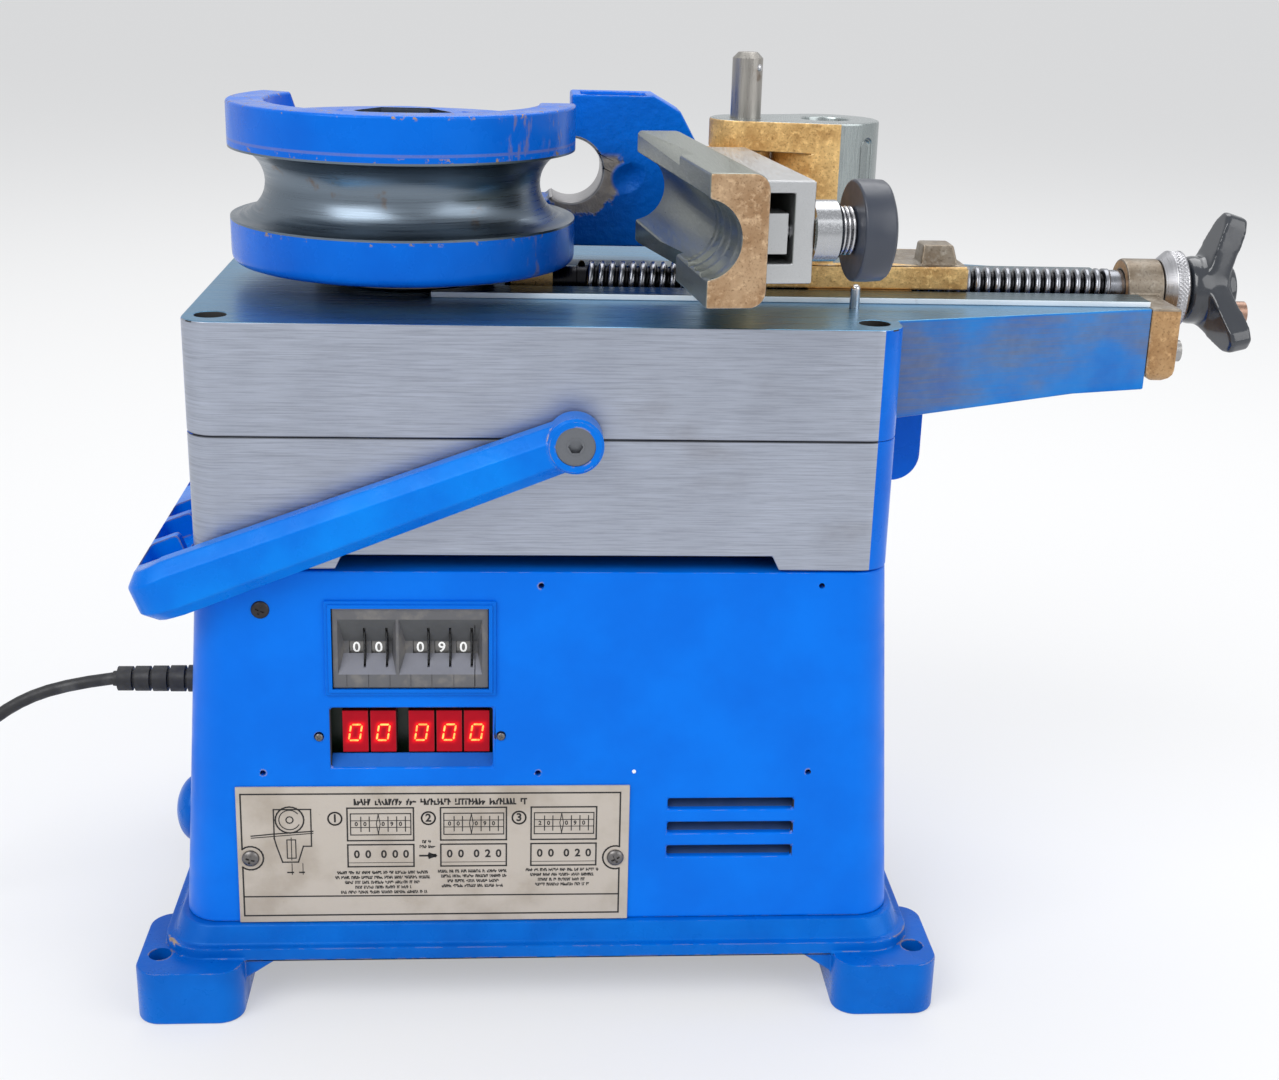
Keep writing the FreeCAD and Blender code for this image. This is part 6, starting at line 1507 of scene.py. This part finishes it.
# Instruction plate: a cream aluminium sheet printed in black, held on the sloping front by two domed
# screws in notches of its border. It carries three numbered setting pictures and plain rows, no words.
PLATE_LEFT, PLATE_RIGHT = -112.9, 32.4
PLATE_LOW, PLATE_TOP = 32.8, 87.5
PLATE_THICK = 0.9
INK_THICK = 0.05
INK_SPREAD = 1.4
PLATE_SCREWS = ((-108.1, 59.1), (27.4, 58.3))
NOTCH_RADIUS = 4.7
BORDER_LEFT, BORDER_RIGHT = -111.1, 28.9
BORDER_LOW, BORDER_TOP = 35.6, 84.7
DIVIDER = 43.4
STEP_LEFT = (-72.3, -37.9, -4.3)
STEP_WIDE = 24.4
STEP_NUMBER_Y = 74.8
SETTING_LOW, SETTING_TOP = 65.9, 79.0
READING_LOW, READING_TOP = 55.3, 64.2
SETTINGS = ("00090", "00090", "20090")
READINGS = ("00000", "00020", "00020")
SETTING_PLACES = (3.3, 6.5, 13.2, 16.4, 19.6)
READING_PLACES = (3.3, 7.5, 13.3, 17.5, 21.5)
ROWS = ((52.9, ((-76.3, -42.7), (-77, -42.3), (-73.5, -45.3), (-69.7, -49), (-75, -43.4))),
        (53.2, ((-38.9, -12.9), (-37.7, -13.6), (-35.3, -16.2), (-37.5, -14.7))),
        (53.5, ((-6.1, 20.9), (-4.4, 19), (-1.5, 16.2), (-2.5, 17.6))))
ROW_STEP = 2.0


def inked(points, wide=0.28, closed=False):
    """Print a line through points (across, up) as thin bars on the plate."""
    bars = []
    wide *= INK_SPREAD
    ends = points[1:] + points[:1] if closed else points[1:]
    for start, end in zip(points, ends):
        along = Vector(end) - Vector(start)
        bar = block(-wide / 2, along.length + wide / 2, -INK_THICK, 0.02, -wide / 2, wide / 2)
        turn = Matrix.Rotation(-math.atan2(along.y, along.x), 4, "Y")
        bmesh.ops.transform(bar, matrix=Matrix.Translation((start[0], 0, start[1])) @ turn, verts=bar.verts)
        bars.append(bar)
    return bars


def ring_points(centre, radius, start=0, end=360, count=20):
    """Return points along a printed arc."""
    return [(x + centre[0], z + centre[1]) for x, z in arc((0, 0), radius, start, end, count)]


def boxed(left, right, low, top, wide=0.25):
    """Print a rectangle."""
    return inked([(left, low), (right, low), (right, top), (left, top)], wide, closed=True)


def figures(text, size, x, z):
    """Print plain figures round a point."""
    mark = written(text, size, INK_THICK / 2, 0.03)
    bmesh.ops.translate(mark, vec=(x, -INK_THICK / 2, z), verts=mark.verts)
    return mark


left_screw, right_screw = PLATE_SCREWS
left_reach = math.degrees(math.acos((BORDER_LEFT - left_screw[0]) / NOTCH_RADIUS))
left_notch = ring_points(left_screw, NOTCH_RADIUS, -left_reach, left_reach, 16)
right_reach = math.degrees(math.acos((BORDER_RIGHT - right_screw[0]) / NOTCH_RADIUS))
right_notch = ring_points(right_screw, NOTCH_RADIUS, right_reach, 360 - right_reach, 16)
border = [(BORDER_LEFT, BORDER_LOW), *left_notch, (BORDER_LEFT, BORDER_TOP), (BORDER_RIGHT, BORDER_TOP),
          *right_notch, (BORDER_RIGHT, BORDER_LOW)]
prints = inked(border, 0.42, closed=True)
prints += inked([(BORDER_LEFT, DIVIDER), (BORDER_RIGHT, DIVIDER - 0.2)], 0.38)
chance = random.Random(7)


def word_row(left, right, middle, tall=0.95, wide=0.2, pitch=0.52):
    """Print a row of small upright marks in groups, in place of words."""
    across, group = left, chance.randint(3, 8)
    while across < right:
        low, high = (chance.choice((-0.5, -0.5, 0.0)), chance.choice((0.5, 0.5, 0.1)))
        prints.extend(inked([(across, middle + low * tall), (across, middle + high * tall)], wide))
        prints.extend(inked([(across, middle + chance.choice((-0.5, 0, 0.5)) * tall),
                             (across + pitch * 0.5, middle + chance.choice((-0.5, 0, 0.5)) * tall)], wide))
        group -= 1
        across += pitch if group else 2.2 * pitch
        group = group or chance.randint(2, 9)


word_row(-69.5, -6.0, 81.4, 2.0, 0.4, 1.25)
for number, (left, setting, reading, rows) in enumerate(zip(STEP_LEFT, SETTINGS, READINGS, ROWS), 1):
    prints += inked(ring_points((left - 4.5, STEP_NUMBER_Y), 2.5, count=24), 0.42)
    prints.append(figures(str(number), 4.4, left - 4.5, STEP_NUMBER_Y))
    prints += boxed(left, left + STEP_WIDE, SETTING_LOW, SETTING_TOP, 0.4)
    prints += boxed(left + 1.2, left + STEP_WIDE - 1, SETTING_LOW + 2.3, SETTING_TOP - 2.3, 0.28)
    prints += inked([(left + 1.2, 71.2), (left + STEP_WIDE - 1, 71.2)], 0.2)
    prints += inked([(left + 1.2, 73.9), (left + STEP_WIDE - 1, 73.9)], 0.2)
    for place in (5.0, 8.1, 15.0, 18.2, 21.4):
        prints += inked([(left + place, 69.6), (left + place, 75.4)], 0.26)
    prints += inked([(left + 11.4, 76.4), (left + 10.7, 72.6), (left + 11.4, 68.6), (left + 12.1, 72.6)],
                    0.22, closed=True)
    for figure, place in zip(setting, SETTING_PLACES):
        prints.append(figures(figure, 2.3, left + place, 72.5))
    prints += boxed(left, left + STEP_WIDE, READING_LOW, READING_TOP, 0.4)
    prints += inked([(left, READING_LOW + 1.6), (left + STEP_WIDE, READING_LOW + 1.6)], 0.14)
    for figure, place in zip(reading, READING_PLACES):
        prints.append(figures(figure, 4.3, left + place, 60.2))
    top, spans = rows
    for row, span in enumerate(spans):
        word_row(*span, top - row * ROW_STEP)
prints += inked([(-45.6, 59.6), (-42.0, 59.6)], 0.5)
prints += inked([(-42.2, 60.6), (-39.6, 59.6), (-42.2, 58.6)], 0.4, closed=True)
prints += inked([(-42, 59.6), (-40.3, 59.6)], 1.0)
word_row(-44.6, -41.6, 65.3)
word_row(-45.6, -40.2, 63.3)

prints += inked(ring_points((-93.4, 74.4), 5.2, count=24), 0.4)
prints += inked(ring_points((-93.4, 74.4), 3.9, 40, 330), 0.26)
prints += inked(ring_points((-93.4, 74.4), 1.3, count=12), 0.3)
prints += inked([(-99.2, 78.6), (-85.6, 78.6), (-85.6, 63.8), (-88.6, 63.8), (-90.6, 57.4), (-96.4, 57.4),
                 (-98.4, 63.8), (-99.2, 67.0)], 0.36, closed=True)
prints += inked([(-107.6, 68.0), (-99.4, 68.8), (-85.0, 69.8)], 0.34)
prints += inked([(-107.6, 67.2), (-85.0, 69.0)], 0.24)
prints += boxed(-94.6, -91.4, 59.0, 66.4, 0.28) + inked([(-93.0, 58.2), (-93.0, 67.2)], 0.22)
for left in (-94.6, -90.6):
    prints += inked([(left + 1.6, 56.8), (left + 1.6, 52.4)], 0.2)
prints += inked([(-94.6, 53.2), (-92.6, 53.2)], 0.4) + inked([(-88.6, 53.2), (-90.2, 53.2)], 0.4)

plate_cream = Finish("plate_cream", (0.46, 0.41, 0.35), 0.42, 0.15)
smudge = plate_cream.spread(plate_cream.grain(22, detail=6), 0.42, 0.75)
speck = plate_cream.spread(plate_cream.grain(1.8, detail=5, rough=0.7), 0.66, 0.78)
paper = plate_cream.blend(smudge, (0.475, 0.425, 0.37), (0.37, 0.32, 0.265))
paper = plate_cream.blend(plate_cream.sum("MULTIPLY", speck, 0.5), paper, (0.16, 0.13, 0.1))
plate_cream.feed("Base Color", plate_cream.blend(plate_cream.edges(0.5), paper, (0.36, 0.33, 0.3)))
plate_cream.feed("Roughness", plate_cream.spread(smudge, 0, 1, 0.36, 0.55))
plate_cream.relief(plate_cream.grain(60, detail=1), 0.3)
ink = Finish("black_ink", (0.02, 0.018, 0.018), 0.5)
ink_wear = ink.spread(ink.grain(0.9), 0.55, 0.8)
ink.feed("Base Color", ink.blend(ink_wear, (0.008, 0.007, 0.007), (0.035, 0.03, 0.028)))
sheet = eased(block(PLATE_LEFT, PLATE_RIGHT, 0, PLATE_THICK, PLATE_LOW, PLATE_TOP), 0.3)
whole_plate = joined((sheet, 0), *((part, 1) for part in prints))
bmesh.ops.translate(whole_plate, vec=(0, -PLATE_THICK, 0), verts=whole_plate.verts)
finished(on_front(whole_plate), "setting_plate", [plate_cream, ink], "frame",
         ["instruction_plate"])


# Small screws of the front: two domed cross-head screws on the plate, a black one by the top left corner,
# and two tiny ones beside the display.
def cross_head(x, z, radius, tall, proud, cross):
    """Make one domed screw head with a cross recess, set on the front plane."""
    dome = [(0, 0.6), (radius, 0.6), (radius, -tall * 0.12)]
    dome += [(radius * math.cos(turn), -tall * 0.12 - tall * 0.88 * math.sin(turn))
             for turn in (math.radians(angle) for angle in range(12, 91, 13))]
    head = turned([(out, -up) for out, up in dome[:-1]] + [(0, tall)], (0, 0, 0), "-y", 32)
    head.normal_update()
    bars = [block(-cross, cross, -tall - 1, -tall * 0.45, -cross * 0.22, cross * 0.22),
            block(-cross * 0.22, cross * 0.22, -tall - 1, -tall * 0.45, -cross, cross)]
    turn = Matrix.Rotation(math.radians(35 + x), 3, "Y")
    for bar in bars:
        bmesh.ops.rotate(bar, verts=bar.verts, cent=(0, 0, 0), matrix=turn)
    head = cut(head, *bars)
    bmesh.ops.translate(head, vec=(x, -proud, z), verts=head.verts)
    return on_front(head)


plate_heads = [cross_head(x, z, 3.2, 1.7, PLATE_THICK, 1.7) for x, z in PLATE_SCREWS]
dull_zinc = steel("dull_zinc", (0.20, 0.19, 0.185), 0.34, 0.6)
finished(joined(*plate_heads), "plate_heads", [dull_zinc], "frame", ["plate_screws"])
corner_head = cross_head(-101.5, 155.6, 3.3, 1.0, 0, 1.7)
dark_zinc = steel("dark_zinc", (0.06, 0.055, 0.055), 0.42, 0.6)
tiny_heads = [cross_head(x, z, 1.5, 0.7, 0, 0.8) for x, z in ((-81.9, 106.7), (-15.6, 106.8))]
finished(joined((corner_head, 0), *((head, 1) for head in tiny_heads)), "front_heads", [dark_zinc, dull_zinc],
         "frame", ["front_screws"])


# Cooling slots: a slanted sheet behind each slot and a dark backing, so that no light shows through.
# The sheets are a darkened blue and the backing near black, both painted shade.
VENT_LEFT, VENT_RIGHT = 46.8, 94.3
VENT_LOWS = (76.8, 67.2, 57.6)
louvres = [(block(VENT_LEFT - 4, VENT_RIGHT + 4, 9, 9.8, VENT_LOWS[-1] - 5, VENT_LOWS[0] + 9), 1)]
for low in VENT_LOWS:
    profile = [(2.6, low - 0.9), (7.5, low + 2.2), (7.5, low + 3.0), (2.6, low - 0.1)]
    louvres.append((extruded(profile, VENT_LEFT - 2, VENT_RIGHT + 2, SECTION_ALONG_X), 0))
# Darkened blue for the sheets in the slots: painted shade.
louvre_painted_shade = Finish("louvre_painted_shade", (0.02, 0.07, 0.20), 0.5)
louvre_painted_shade.feed("Base Color", louvre_painted_shade.blend(louvre_painted_shade.grain(7, detail=5), (0.015, 0.05, 0.15),
                                                 (0.045, 0.085, 0.19)))
finished(on_front(joined(*louvres)), "louvres", [louvre_painted_shade, painted_shade_black], "frame")
